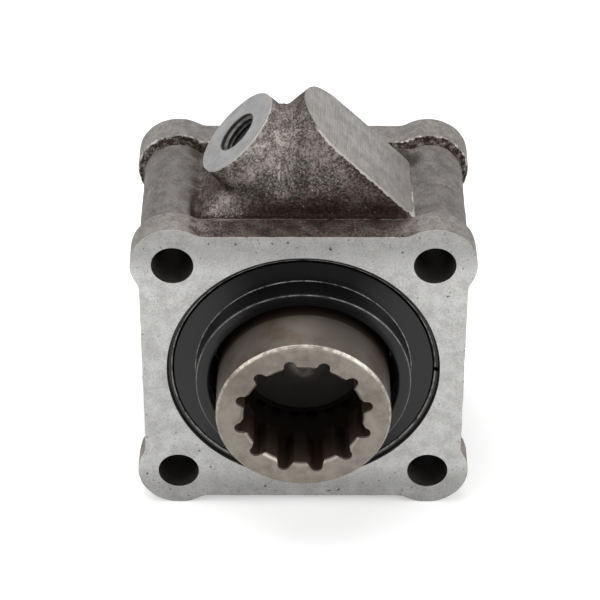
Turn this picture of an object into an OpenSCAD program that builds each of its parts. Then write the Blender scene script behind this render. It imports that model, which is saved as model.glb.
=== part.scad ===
// Air-shifted power take off unit for a gearbox, with a square four-bolt flange at each end.
// The shaft axis is Y. The gearbox flange face is the plane y = 0, the pump flange faces +Y, and +Z is up.

/* [Flanges] */
// Distance between neighbouring bolt holes
bolt_square = 80; // [70:0.5:90]
// Diameter of a bolt hole
bolt_hole_d = 13; // [10:0.1:14]
// Radius of the rounded corner lobe round a bolt hole
lobe_r = 13; // [11:0.1:15]
// Distance of a flange's straight sides beyond the barrel
flange_rim = 1.9; // [1.2:0.1:3]
// Thickness of each flange
flange_t = 10.6; // [8:0.1:13]
// Radius of the corner pillars between the flanges
pillar_r = 10.7; // [9:0.1:12]
// Wall of the barrel round the front bore
barrel_wall = 6; // [5:0.1:6.5]

/* [Forked boss] */
// Place of the fork's middle to the right of the shaft axis
fork_x = -6; // [-9:0.1:-3]
// Distance of the arms' common axis plane behind the front face
fork_y = 28; // [27:0.1:32]
// Height at which the axes of both arms cross
fork_z = 56; // [54:0.1:58]
// Radius of both arms
arm_r = 15; // [13:0.1:15.2]
// Length of the port arm from the crossing to its machined face
port_arm_len = 20.5; // [18:0.1:24]
// Length of the blank arm from the crossing to its ground face
blank_arm_len = 23.8; // [21:0.1:25]
// Distance of the boss's right side from the shaft axis
boss_right_x = 33; // [30:0.1:34]
// Depth that the boss and the arms reach into the barrel
boss_root = 18.5; // [14:0.5:20]
// Distance of the boss's left side from the shaft axis
boss_left_x = -31; // [-33:0.1:-29]
// Depth of the flat top beside the arms below the flange's top
boss_top_drop = 1; // [0.3:0.1:2.4]
// Core radius of the threaded air port
port_core_r = 6.25; // [5:0.05:7]
// Depth of the threaded air port
port_depth = 14; // [10:0.5:18]
// Width of the chamfer at the port's mouth
port_chamfer = 0.9; // [0.3:0.1:1.5]
// Radius of the air drilling below the port
air_drill_r = 2; // [1.5:0.1:2.5]

/* [Bores] */
// Wall of the piston round the shift bearing
piston_wall = 3; // [2.5:0.1:3.5]
// Radial step between the piston's flange and its tube
piston_step = 3.5; // [3:0.05:4]
// Width of the annular air groove
air_groove_w = 3; // [2:0.1:3.5]
// Radial depth of the annular air groove
air_groove_depth = 1.7; // [1:0.1:2.5]
// Thickness of the web in front of the main bearing
web_t = 3; // [2.5:0.1:3]
// Radial width of the web in front of the main bearing's outer ring
web_ledge = 3; // [2:0.1:3.5]
// Radial step from the bearing bore to the pump pilot bore
pilot_step = 4; // [3:0.05:5]
// Depth of the pump pilot bore
pilot_depth = 8; // [6:0.1:8]

/* [Cover and snap ring] */
// Height of the raised collar in front of the gearbox face
collar_h = 6.4; // [5:0.1:8]
// Wall of the raised collar round the return spring
collar_wall = 1.65; // [1.4:0.05:2]
// Gap between the collar and the sleeve
collar_gap = 2.4; // [2:0.1:2.5]
// Thickness of the collar's front lip
collar_lip = 2; // [1.5:0.1:2.5]
// Depth of the cover's flat face below the gearbox face
cover_sink = 1; // [0.5:0.1:1.5]
// Depth of the cover's rear face
cover_rear_y = 7; // [6.5:0.1:7]
// Radial width of the spring pocket behind the collar's lip
spring_pocket_w = 2.7; // [2.6:0.05:2.8]
// Wire diameter of the snap ring
snap_wire_d = 2.2; // [1.8:0.1:2.4]
// Radial depth of the snap ring's wire centre inside the bore wall
snap_inset = 0.5; // [0.3:0.05:0.7]
// Gap between the ends of the snap ring
snap_gap = 1.6; // [0.8:0.1:4]

/* [Piston] */
// Free travel of the piston and the sleeve
stroke = 9.8; // [8:0.1:9.8]
// Length of the piston
piston_len = 13.8; // [13.5:0.1:13.8]
// Length of the piston's wide flange
piston_flange_len = 6; // [5:0.1:6]
// Thickness of the piston's back lip
piston_lip = 2; // [1.5:0.1:2]
// Radial width of the piston's back lip
piston_ledge = 3.5; // [3:0.1:4]
// Section diameter of the large O-rings
ring_section = 2.4; // [1.8:0.1:2.6]
// Section diameter of the cover's O-ring
cover_ring_section = 1.8; // [1.5:0.1:1.9]
// Thickness of the spring seat washer
seat_t = 1.3; // [1:0.1:1.3]
// Radial gap between the sleeve's shoulder and the seat washer
seat_gap_r = 0.7; // [0.5:0.1:0.8]
// Thickness of the piston's circlip
piston_clip_t = 1.2; // [1:0.1:1.2]

/* [Return spring] */
// Wire diameter of the return spring
spring_wire_d = 2.4; // [1.5:0.1:2.4]
// Number of turns of the return spring
spring_turns = 3.75; // [3:0.25:4]

/* [Coupling sleeve] */
// Distance that the sleeve stands in front of the gearbox face
sleeve_front = 23.7; // [20:0.1:26]
// Wall of the sleeve round its front spline
sleeve_wall = 5.3; // [5:0.05:5.4]
// Width of the chamfer round the sleeve's front rim
sleeve_rim = 1; // [0.5:0.1:1.5]
// Number of grooves in the sleeve's front spline
drive_grooves = 12; // [8:1:14]
// Height of a tooth of the front spline
drive_tooth_h = 3.4; // [3:0.05:3.8]
// Radius of the circle round the front spline's groove roots
drive_root_r = 21.6; // [21:0.05:21.9]
// Width of a front spline groove at the tooth tips
drive_groove_w = 6; // [5:0.1:6.5]
// Radius of the round root of a front spline groove
drive_root_fillet = 1.9; // [1.5:0.05:2]
// Length of the front spline
drive_len = 15.7; // [12:0.1:18]
// Turn of the front spline seen from the gearbox
drive_turn = 18; // [0:0.5:30]
// Step from the sleeve's front part up to its bearing seat
sleeve_seat_step = 0.6; // [0.5:0.05:0.7]
// Height of the shoulder in front of the shift bearing
sleeve_shoulder_h = 0.8; // [0.6:0.05:0.9]
// Length of the shoulder in front of the shift bearing
sleeve_shoulder_len = 2; // [1.5:0.1:2.5]
// Thickness of the sleeve's circlip
sleeve_clip_t = 1.2; // [1:0.1:1.2]

/* [Output shaft] */
// Depth of the shaft's front end
shaft_front_y = 6.3; // [6:0.1:6.5]
// Distance of the shaft's rear end in front of the pilot bore's floor
shaft_rear_gap = 0.5; // [0.1:0.1:1]
// Step from the front spline's roots out to the fine spline's tips
fine_step = 1.4; // [1.3:0.05:1.5]
// Height of a tooth of the fine spline
fine_tooth_h = 1.8; // [1.6:0.05:1.9]
// Number of teeth of the fine spline
fine_teeth = 24; // [18:2:30]
// Width of a tooth of the fine spline
fine_tooth_w = 2.8; // [2:0.1:3]
// Step from the fine spline's tips out to the bearing and seal seats
shaft_seat_step = 2; // [1.8:0.05:2.1]
// Height of the shaft's shoulder behind the main bearing
shaft_shoulder_h = 3; // [2:0.1:3.5]
// Thickness of the shaft's circlip
shaft_clip_t = 1.2; // [1:0.1:1.2]
// Height of a tooth of the pump socket
socket_tooth_h = 2; // [1.5:0.05:2.2]
// Wall between the pump socket's grooves and the fine spline's roots
socket_wall = 3.2; // [3:0.05:3.5]
// Number of grooves in the pump socket
socket_grooves = 8; // [6:1:10]
// Width of a groove in the pump socket
socket_groove_w = 6; // [5:0.1:7]
// Radial step from the pump socket's grooves out to the plug
plug_step = 1.7; // [1.2:0.05:1.8]
// Thickness of the plug
plug_t = 3; // [2.8:0.1:3.1]
// Distance across the flats of the plug's hexagon
plug_hex_af = 13; // [10:0.5:19]
// Height of the plug's hexagon
plug_hex_h = 4; // [3:0.1:6]
// Section diameter of the plug's O-ring
plug_ring_section = 1.4; // [1:0.1:1.5]

/* [Bearings] */
// Radial height of the shift bearing's section
shift_section = 8.5; // [8:0.1:8.5]
// Width of the main bearing
main_bearing_w = 12; // [11:0.1:12]
// Ball size as a share of the space between a bearing's seat and its bore
ball_share = 0.57; // [0.5:0.01:0.58]
// Free space beside each ball as a share of its size
ball_spacing = 0.85; // [0.5:0.05:1.2]
// Width of the shift bearing
shift_bearing_w = 9; // [8.5:0.1:9]
// Wall of a ball cage as a share of the ball's radius
cage_share = 0.75; // [0.5:0.05:0.85]
// Thickness of the housing's circlip behind the main bearing
bearing_clip_t = 2.2; // [1.8:0.1:2.3]

/* [Shaft seal] */
// Width of the shaft seal
seal_w = 7.9; // [7:0.1:7.9]
// Wall thickness of the seal's steel case
seal_wall = 1.2; // [1:0.1:1.5]
// Section diameter of the seal's garter spring
garter_d = 1.6; // [1.2:0.1:1.8]

/* [Clearances] */
// Radial clearance of sliding and locating fits
slide_fit = 0.05; // [0.02:0.01:0.1]
// Radial clearance of seated rings and balls
seat_gap = 0.02; // [0.01:0.01:0.05]
// Clearance between a ball and its track
ball_gap = 0.15; // [0.1:0.01:0.2]
// Clearance between the flanks of mating splines
spline_gap = 0.15; // [0.05:0.01:0.3]
// Free gap beside a part that turns past another
turn_gap = 0.3; // [0.2:0.05:0.5]

/* [Hidden] */
$fn = 96;

cut = 1;
end_gap = 0.2;
bolt_xz = bolt_square / 2;
drive_tip_r = drive_root_r - drive_tooth_h;
sleeve_r = drive_root_r + sleeve_wall;
sleeve_seat_r = sleeve_r + sleeve_seat_step;
sleeve_shoulder_r = sleeve_seat_r + sleeve_shoulder_h;
seat_hole_r = sleeve_shoulder_r + seat_gap_r;
fine_tip_r = drive_root_r + fine_step;
fine_root_r = fine_tip_r - fine_tooth_h;
socket_major_r = fine_root_r - socket_wall;
socket_minor_r = socket_major_r - socket_tooth_h;
plug_r = socket_major_r + plug_step;
shaft_seat_r = fine_tip_r + shaft_seat_step;
shaft_shoulder_r = shaft_seat_r + shaft_shoulder_h;
bearing_outer_r = sleeve_seat_r + shift_section;
narrow_bore_r = bearing_outer_r + piston_wall;
front_bore_r = narrow_bore_r + piston_step;
pilot_r = bearing_outer_r + pilot_step;
web_hole_r = bearing_outer_r - web_ledge;
piston_hole_r = bearing_outer_r - piston_ledge;
barrel_r = front_bore_r + barrel_wall;
flange_w = 2 * (barrel_r + flange_rim);
boss_top_z = flange_w / 2 - boss_top_drop;
boss_foot_z = barrel_r - boss_root;
collar_hole_r = sleeve_r + collar_gap;
spring_pocket_r = collar_hole_r + spring_pocket_w;
collar_r = spring_pocket_r + collar_wall;
spring_coil_r = spring_pocket_r - spring_wire_d / 2 - 2 * turn_gap;
snap_ring_r = front_bore_r - snap_inset;
piston_front_y = cover_rear_y + stroke + end_gap;
piston_rear_y = piston_front_y + piston_len;
piston_step_y = piston_front_y + piston_flange_len;
air_groove_y = piston_step_y - 0.8;
air_step_y = air_groove_y + air_groove_w;
web_y = piston_rear_y + end_gap;
main_bearing_y = web_y + web_t;
main_bearing_rear = main_bearing_y + main_bearing_w;
sleeve_rear_y = web_y + end_gap;
fine_len = sleeve_rear_y - shaft_front_y - stroke - 0.5;
shift_bearing_rear = piston_rear_y - piston_lip;
shift_bearing_y = shift_bearing_rear - shift_bearing_w;
seat_y = shift_bearing_y - seat_t;
piston_clip_y = seat_y - piston_clip_t;
snap_y = cover_sink + snap_wire_d / 2;
cover_step_y = snap_y + snap_wire_d / 2;
cover_step_r = snap_ring_r - snap_wire_d / 2 - 0.4;
cover_r = front_bore_r - slide_fit;
cover_ring_y = (cover_step_y + cover_rear_y) / 2;
cover_groove_r = front_bore_r - cover_ring_section;
piston_ring_y = piston_front_y + piston_flange_len / 2;
piston_groove_r = front_bore_r - ring_section;
narrow_ring_y = (air_step_y + web_y) / 2;
narrow_gland_r = narrow_bore_r + ring_section;
lip_rear_y = -collar_h + collar_lip;
clip_bite = 1.2;
clip_gap = 0.1;
clip_width = 2.6;
shaft_clip_y = main_bearing_y - shaft_clip_t;
shaft_seat_y = shaft_clip_y - 0.9;
bearing_clip_y = main_bearing_rear + clip_gap;
seal_y = bearing_clip_y + bearing_clip_t + end_gap;
seal_rear_y = seal_y + seal_w;
pilot_y = seal_rear_y + clip_gap;
housing_len = pilot_y + pilot_depth;
rear_flange_y = housing_len - flange_t;
shaft_rear_y = pilot_y - shaft_rear_gap;
sleeve_clip_y = shift_bearing_rear;
plug_y = shaft_front_y + end_gap;
plug_seat_depth = plug_t + 2 * end_gap;
shift_track_r = (sleeve_seat_r + bearing_outer_r) / 2;
shift_ball_r = ball_share * (bearing_outer_r - sleeve_seat_r) / 2;
shift_balls = floor(PI * shift_track_r / shift_ball_r / (1 + ball_spacing));
shift_mid_y = shift_bearing_y + shift_bearing_w / 2;
main_track_r = (shaft_seat_r + bearing_outer_r) / 2;
main_ball_r = ball_share * (bearing_outer_r - shaft_seat_r) / 2;
main_balls = floor(PI * main_track_r / main_ball_r / (1 + ball_spacing));
main_mid_y = main_bearing_y + main_bearing_w / 2;
race_share = 0.64;

// Turns a profile drawn as radius and depth about the shaft axis.
module lathe(points) {
  rotate([-90, 0, 0]) rotate_extrude() polygon(points);
}

// Extrudes a shape drawn in X and Z from one depth to another.
module plate(y0, y1) {
  translate([0, y1, 0]) rotate([90, 0, 0]) linear_extrude(y1 - y0) children();
}

// Round bar on the shaft axis between two depths.
module bar(r, y0, y1) {
  lathe([[0, y0], [r, y0], [r, y1], [0, y1]]);
}

// Ring with a square section between two radii and two depths.
module ring(r0, r1, y0, y1) {
  lathe([[r0, y0], [r1, y0], [r1, y1], [r0, y1]]);
}

// Ring with a round section.
module torus(r, y, section_d) {
  rotate([-90, 0, 0]) rotate_extrude() translate([r, y]) circle(d = section_d, $fn = 48);
}

// Places its children at each corner of the bolt square, in X and Z.
module at_corners() {
  for (sx = [-1, 1], sz = [-1, 1]) translate([sx * bolt_xz, sz * bolt_xz]) children();
}

// Outline of a flange: a square with a rounded lobe at each corner.
module flange_outline() {
  square([flange_w, bolt_square], center = true);
  square([bolt_square, flange_w], center = true);
  at_corners() circle(r = lobe_r);
}

// Turns a bar that stands on the fork's crossing into the port arm or the blank arm.
module along_arm(side) {
  translate([fork_x, fork_y, fork_z]) rotate([0, side * 45, 0]) children();
}

// Flat-sided part of the blank arm, from its axis down to the barrel.
module blank_arm_flank() {
  face_x = fork_x + blank_arm_len * sqrt(0.5);
  face_z = fork_z + blank_arm_len * sqrt(0.5);
  foot_z = face_z - (boss_right_x - face_x);
  plate(fork_y - arm_r, fork_y + arm_r)
    polygon([[fork_x, fork_z], [face_x, face_z], [boss_right_x, foot_z], [boss_right_x, boss_foot_z],
      [fork_x, boss_foot_z]]);
}

// Casting outside: barrel, pillars, flanges and the forked boss on top.
module housing_outside() {
  arm_root = fork_z - barrel_r + barrel_wall / 2;
  plate(0, flange_t) flange_outline();
  plate(rear_flange_y, housing_len) flange_outline();
  plate(flange_t - cut, rear_flange_y + cut) {
    circle(r = barrel_r, $fn = 128);
    at_corners() circle(r = pillar_r);
    translate([boss_left_x, boss_foot_z]) square([boss_right_x - boss_left_x, boss_top_z - boss_foot_z]);
  }
  along_arm(-1) translate([0, 0, -arm_root]) cylinder(r = arm_r, h = port_arm_len + arm_root);
  along_arm(1) translate([0, 0, -arm_root]) cylinder(r = arm_r, h = blank_arm_len + arm_root);
  blank_arm_flank();
}

// Every bore that is cut from the ends, on the shaft axis.
module housing_bores() {
  lathe([
    [0, -cut], [front_bore_r, -cut], [front_bore_r, air_groove_y],
    [front_bore_r + air_groove_depth, air_groove_y], [front_bore_r + air_groove_depth, air_step_y],
    [narrow_bore_r, air_step_y], [narrow_bore_r, web_y], [web_hole_r, web_y],
    [web_hole_r, main_bearing_y], [bearing_outer_r, main_bearing_y],
    [bearing_outer_r, pilot_y], [pilot_r, pilot_y],
    [pilot_r, housing_len + cut], [0, housing_len + cut]
  ]);
  torus(snap_ring_r, snap_y, snap_wire_d + 2 * slide_fit);
  ring(narrow_bore_r - cut, narrow_gland_r, narrow_ring_y - ring_section / 2 - 0.1,
    narrow_ring_y + ring_section / 2 + 0.1);
  ring(bearing_outer_r - cut, bearing_outer_r + clip_bite + clip_gap, bearing_clip_y - clip_gap / 2,
    bearing_clip_y + bearing_clip_t + clip_gap / 2);
}

// Threaded air port with its mouth chamfer, and the drilling that leads to the air groove.
module air_port() {
  along_arm(-1) {
    translate([0, 0, port_arm_len - port_depth]) cylinder(r = port_core_r, h = port_depth + cut);
    translate([0, 0, port_arm_len - port_chamfer])
      cylinder(r1 = port_core_r, r2 = port_core_r + 2 * port_chamfer, h = 2 * port_chamfer, $fn = 96);
  }
  port_end = port_arm_len - port_depth;
  depth_to_bore = fork_z * sqrt(0.5) - fork_x * sqrt(0.5) - sqrt(pow(front_bore_r, 2)
    - pow(fork_z * sqrt(0.5) + fork_x * sqrt(0.5), 2));
  drill_len = port_end + depth_to_bore;
  drill_tilt = atan((fork_y - air_groove_y - air_groove_w / 2) / drill_len);
  along_arm(-1) translate([0, 0, port_end + end_gap])
    rotate([180 + drill_tilt, 0, 0]) cylinder(r = air_drill_r, h = drill_len / cos(drill_tilt), $fn = 32);
}

// Cast housing with both flanges, the corner bolt holes, the bores and the air port.
module housing() {
  color("#8a8784") difference() {
    housing_outside();
    housing_bores();
    plate(-cut, housing_len + cut) at_corners() circle(d = bolt_hole_d, $fn = 64);
    air_port();
  }
}

// Dark front cover: a flat ring in the bore with a raised collar that holds the return spring.
module cover() {
  bevel = 0.6;
  color("#38383a") difference() {
    lathe([
      [collar_hole_r, -collar_h + bevel], [collar_hole_r + bevel, -collar_h], [collar_r - bevel, -collar_h],
      [collar_r, -collar_h + bevel], [collar_r, cover_sink], [cover_step_r, cover_sink],
      [cover_step_r, cover_step_y], [cover_r, cover_step_y], [cover_r, cover_rear_y],
      [spring_pocket_r, cover_rear_y], [spring_pocket_r, lip_rear_y], [collar_hole_r, lip_rear_y]
    ]);
    ring(cover_groove_r, front_bore_r + cut, cover_ring_y - cover_ring_section / 2 - 0.1,
      cover_ring_y + cover_ring_section / 2 + 0.1);
  }
}

// O-ring in a groove whose floor and wall are one section apart.
module o_ring(floor_r, wall_r, y) {
  color("#1a1a1a") torus((floor_r + wall_r) / 2, y, wall_r - floor_r - 2 * seat_gap);
}

module cover_o_ring() {
  o_ring(cover_groove_r, front_bore_r, cover_ring_y);
}

// Round wire snap ring that holds the cover, split at the right-hand side.
module snap_ring() {
  color("#c9c8c4") difference() {
    torus(snap_ring_r, snap_y, snap_wire_d);
    translate([snap_ring_r, snap_y, 0]) cube([3 * snap_wire_d, 3 * snap_wire_d, snap_gap], center = true);
  }
}

// Centre of the spring wire at a part of its length from 0 to 1: closed end turns and open turns between.
function spring_rise(t) = t < 0.2 ? t * 0.55 : t > 0.8 ? 1 - (1 - t) * 0.55 : 0.11 + (t - 0.2) * 1.3;
function spring_point(t, y0, y1, a, wire_r) = let (
    turn = 360 * spring_turns * t,
    r = spring_coil_r + wire_r * cos(a),
    y = y0 + (y1 - y0) * spring_rise(t) + wire_r * sin(a)
  ) [r * sin(turn), y, r * cos(turn)];

// Open coil spring round the sleeve, between the cover's lip and the seat washer.
module return_spring() {
  wire_r = spring_wire_d / 2;
  sides = 8;
  steps = 110;
  y0 = lip_rear_y + wire_r + 0.05;
  y1 = seat_y - wire_r - 0.05;
  points = [for (i = [0:steps], j = [0:sides - 1]) spring_point(i / steps, y0, y1, 360 * j / sides, wire_r)];
  skin = [for (i = [0:steps - 1], j = [0:sides - 1]) let (k = (j + 1) % sides)
      [i * sides + j, i * sides + k, (i + 1) * sides + k, (i + 1) * sides + j]];
  first_end = [for (j = [0:sides - 1]) sides - 1 - j];
  last_end = [for (j = [0:sides - 1]) steps * sides + j];
  color("#6f6f72") polyhedron(points, concat([first_end], skin, [last_end]), convexity = 8);
}

// Steel washer between the return spring and the outer ring of the shift bearing.
module spring_seat() {
  color("#8d8c88") ring(seat_hole_r, bearing_outer_r - slide_fit, seat_y + seat_gap, shift_bearing_y - seat_gap);
}

// Annular piston: a wide flange in the front bore and a tube in the narrow bore.
module piston() {
  color("#a9a49a") difference() {
    lathe([
      [bearing_outer_r, piston_front_y], [front_bore_r - slide_fit, piston_front_y],
      [front_bore_r - slide_fit, piston_step_y], [narrow_bore_r - slide_fit, piston_step_y],
      [narrow_bore_r - slide_fit, piston_rear_y], [piston_hole_r, piston_rear_y],
      [piston_hole_r, shift_bearing_rear], [bearing_outer_r, shift_bearing_rear]
    ]);
    ring(piston_groove_r, front_bore_r + cut, piston_ring_y - ring_section / 2 - 0.1,
      piston_ring_y + ring_section / 2 + 0.1);
    ring(bearing_outer_r - cut, bearing_outer_r + clip_bite + clip_gap, piston_clip_y - clip_gap / 2, seat_y);
  }
}

module piston_o_ring() {
  o_ring(piston_groove_r, front_bore_r, piston_ring_y);
}

module narrow_bore_o_ring() {
  o_ring(narrow_bore_r, narrow_gland_r, narrow_ring_y);
}

// Circlip with two lugs: its rim lies at rim_r and its lugs point to the side given by lug_side.
module circlip(rim_r, lug_side, y0, y1) {
  inner = lug_side < 0 ? rim_r - clip_width : rim_r;
  outer = lug_side < 0 ? rim_r : rim_r + clip_width;
  lug_r = lug_side < 0 ? inner + 0.6 : outer - 0.6;
  lug_angle = 5.5;
  plate(y0, y1) rotate(90) difference() {
    union() {
      difference() {
        circle(r = outer);
        circle(r = inner);
        rotate(-lug_angle) square([outer + cut, 3 * outer]);
        rotate(lug_angle) translate([0, -3 * outer]) square([outer + cut, 3 * outer]);
      }
      intersection() {
        difference() {
          circle(r = outer);
          circle(r = inner);
        }
        union() {
          rotate(lug_angle) square([outer + cut, 3 * outer]);
          rotate(-lug_angle) translate([0, -3 * outer]) square([outer + cut, 3 * outer]);
          translate([-outer - cut, -outer - cut]) square([outer + cut, 2 * outer + 2 * cut]);
        }
      }
      for (s = [-1, 1]) rotate(s * lug_angle) translate([lug_r, s * 1.2]) circle(r = 1.9, $fn = 32);
    }
    for (s = [-1, 1]) rotate(s * lug_angle) translate([lug_r, s * 1.2]) circle(r = 0.8, $fn = 24);
  }
}

module piston_circlip() {
  color("#4a4a4c") circlip(bearing_outer_r + clip_bite, -1, piston_clip_y + seat_gap, seat_y - seat_gap);
}

// Ring of balls on the shaft axis.
module ball_set(count, track_r, ball_r, y) {
  for (i = [0:count - 1]) rotate([0, 360 / count * i, 0]) translate([0, y, track_r]) sphere(r = ball_r, $fn = 32);
}

// Turned bearing ring with its ball track.
module bearing_ring(r0, r1, y0, width, track_r, ball_r) {
  bevel = 0.4;
  difference() {
    lathe([
      [r0 + bevel, y0], [r1 - bevel, y0], [r1, y0 + bevel], [r1, y0 + width - bevel],
      [r1 - bevel, y0 + width], [r0 + bevel, y0 + width], [r0, y0 + width - bevel], [r0, y0 + bevel]
    ]);
    torus(track_r, y0 + width / 2, 2 * (ball_r + ball_gap));
  }
}

// Ball cage: a thin ring with a round pocket for each ball.
module cage(count, track_r, ball_r, y) {
  width = 2.7 * ball_r;
  wall = cage_share * ball_r;
  difference() {
    ring(track_r - wall / 2, track_r + wall / 2, y - width / 2, y + width / 2);
    for (i = [0:count - 1]) rotate([0, 360 / count * i, 0]) translate([0, y, track_r - wall])
      cylinder(r = ball_r + ball_gap, h = 2 * wall, $fn = 32);
  }
}

module shift_bearing_outer_ring() {
  color("#b9b7b2") bearing_ring(shift_track_r + race_share * shift_ball_r, bearing_outer_r - seat_gap,
    shift_bearing_y + seat_gap, shift_bearing_w - 2 * seat_gap, shift_track_r, shift_ball_r);
}

module shift_bearing_inner_ring() {
  color("#b9b7b2") bearing_ring(sleeve_seat_r + seat_gap, shift_track_r - race_share * shift_ball_r,
    shift_bearing_y + seat_gap, shift_bearing_w - 2 * seat_gap, shift_track_r, shift_ball_r);
}

module shift_bearing_balls() {
  color("#d5d5d5") ball_set(shift_balls, shift_track_r, shift_ball_r, shift_mid_y);
}

module shift_bearing_cage() {
  color("#8a6f3c") cage(shift_balls, shift_track_r, shift_ball_r, shift_mid_y);
}

// One groove of the front spline, drawn pointing up.
module drive_groove() {
  fillet_z = drive_root_r - drive_root_fillet;
  polygon([
    [-drive_groove_w / 2 - 0.3, drive_tip_r - 1], [-drive_root_fillet, fillet_z],
    [drive_root_fillet, fillet_z], [drive_groove_w / 2 + 0.3, drive_tip_r - 1]
  ]);
  translate([0, fillet_z]) circle(r = drive_root_fillet, $fn = 32);
}

// Section of the front spline's hole.
module drive_hole() {
  circle(r = drive_tip_r);
  for (i = [0:drive_grooves - 1]) rotate(-drive_turn - 360 / drive_grooves * i) drive_groove();
}

// Section of the fine spline: teeth on a round core, grown by a gap for the hole.
module fine_section(gap) {
  intersection() {
    circle(r = fine_tip_r + gap);
    union() {
      circle(r = fine_root_r + gap);
      for (i = [0:fine_teeth - 1]) rotate(360 / fine_teeth * i)
        translate([0, fine_root_r / 2 + fine_tip_r / 2])
        square([fine_tooth_w + 2 * gap, fine_tip_r - fine_root_r + 4], center = true);
    }
  }
}

// Sliding sleeve: front spline for the gearbox shaft, fine spline for the output shaft, seat for its bearing.
module coupling_sleeve() {
  front = -sleeve_front;
  relief_y = front + drive_len;
  wide_y = shaft_front_y - turn_gap;
  fine_y = sleeve_rear_y - fine_len;
  shoulder_y = shift_bearing_y - sleeve_shoulder_len;
  lead_in = 1.1;
  color("#a39c90") difference() {
    lathe([
      [0, front], [sleeve_r - sleeve_rim, front], [sleeve_r, front + sleeve_rim], [sleeve_r, shoulder_y],
      [sleeve_shoulder_r, shoulder_y], [sleeve_shoulder_r, shift_bearing_y],
      [sleeve_seat_r, shift_bearing_y], [sleeve_seat_r, sleeve_rear_y], [0, sleeve_rear_y]
    ]);
    plate(front - cut, relief_y + cut) drive_hole();
    lathe([
      [0, front - cut], [drive_tip_r + lead_in + cut, front - cut], [drive_tip_r, front + lead_in],
      [0, front + lead_in]
    ]);
    bar(drive_root_r + 0.3, relief_y, wide_y + cut);
    bar(fine_tip_r + 0.4, wide_y, fine_y);
    plate(fine_y - cut, sleeve_rear_y + cut) fine_section(spline_gap);
    ring(sleeve_seat_r - clip_bite - clip_gap, sleeve_seat_r + cut, sleeve_clip_y,
      sleeve_clip_y + sleeve_clip_t + clip_gap / 2);
  }
}

module sleeve_circlip() {
  color("#4a4a4c") circlip(sleeve_seat_r - clip_bite, 1, sleeve_clip_y + seat_gap,
    sleeve_clip_y + sleeve_clip_t);
}

// Hollow output shaft: fine spline in front, pump socket behind, seats for the main bearing and the seal.
module output_shaft() {
  mouth = 1;
  color("#95918a") difference() {
    union() {
      plate(shaft_front_y, shaft_seat_y + cut) fine_section(0);
      lathe([
        [0, shaft_seat_y], [shaft_seat_r, shaft_seat_y], [shaft_seat_r, main_bearing_rear],
        [shaft_shoulder_r, main_bearing_rear], [shaft_shoulder_r, seal_y - turn_gap - clip_gap],
        [shaft_seat_r, seal_y - turn_gap - clip_gap], [shaft_seat_r, shaft_rear_y - mouth],
        [shaft_seat_r - mouth, shaft_rear_y], [0, shaft_rear_y]
      ]);
    }
    bar(plug_r + seat_gap, shaft_front_y - cut, plug_y + plug_seat_depth);
    plate(shaft_front_y, shaft_rear_y + cut) {
      circle(r = socket_minor_r);
      intersection() {
        circle(r = socket_major_r);
        for (i = [0:socket_grooves - 1]) rotate(360 / socket_grooves * i)
          translate([0, socket_major_r / 2]) square([socket_groove_w, socket_major_r + cut], center = true);
      }
    }
    lathe([
      [0, shaft_rear_y - 1.2], [socket_minor_r, shaft_rear_y - 1.2],
      [socket_minor_r + 2.2, shaft_rear_y + cut], [0, shaft_rear_y + cut]
    ]);
    ring(shaft_seat_r - clip_bite - clip_gap, shaft_seat_r + cut, shaft_clip_y - clip_gap / 2, main_bearing_y);
  }
}

// Plug that closes the shaft's front end, with a hexagon for the wrench and a groove for its O-ring.
module shaft_plug() {
  ring_y = plug_y + plug_t / 2;
  color("#3a3631") {
    difference() {
      bar(plug_r, plug_y, plug_y + plug_t);
      ring(plug_r + seat_gap - plug_ring_section, plug_r + cut, ring_y - plug_ring_section / 2 - 0.1,
        ring_y + plug_ring_section / 2 + 0.1);
    }
    plate(plug_y - plug_hex_h, plug_y + 0.1) circle(r = plug_hex_af / sqrt(3), $fn = 6);
  }
}

module plug_o_ring() {
  o_ring(plug_r + seat_gap - plug_ring_section, plug_r + seat_gap, plug_y + plug_t / 2);
}

module main_bearing_outer_ring() {
  color("#b9b7b2") bearing_ring(main_track_r + race_share * main_ball_r, bearing_outer_r - seat_gap,
    main_bearing_y + seat_gap, main_bearing_w - 2 * seat_gap, main_track_r, main_ball_r);
}

module main_bearing_inner_ring() {
  color("#b9b7b2") bearing_ring(shaft_seat_r + seat_gap, main_track_r - race_share * main_ball_r,
    main_bearing_y + seat_gap, main_bearing_w - 2 * seat_gap, main_track_r, main_ball_r);
}

module main_bearing_balls() {
  color("#d5d5d5") ball_set(main_balls, main_track_r, main_ball_r, main_mid_y);
}

module main_bearing_cage() {
  color("#8a6f3c") cage(main_balls, main_track_r, main_ball_r, main_mid_y);
}

module shaft_circlip() {
  color("#4a4a4c") circlip(shaft_seat_r - clip_bite, 1, shaft_clip_y + seat_gap, main_bearing_y - seat_gap);
}

module bearing_circlip() {
  color("#4a4a4c") circlip(bearing_outer_r + clip_bite, -1, bearing_clip_y, bearing_clip_y + bearing_clip_t);
}

// Steel case of the shaft seal: a tube in the bearing bore with a flat rear wall.
module seal_case() {
  hole_r = shaft_seat_r + 4.5;
  color("#55565a") lathe([
    [bearing_outer_r - seat_gap, seal_y], [bearing_outer_r - seat_gap, seal_rear_y], [hole_r, seal_rear_y],
    [hole_r, seal_rear_y - seal_wall], [bearing_outer_r - seal_wall - seat_gap, seal_rear_y - seal_wall],
    [bearing_outer_r - seal_wall - seat_gap, seal_y]
  ]);
}

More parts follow.
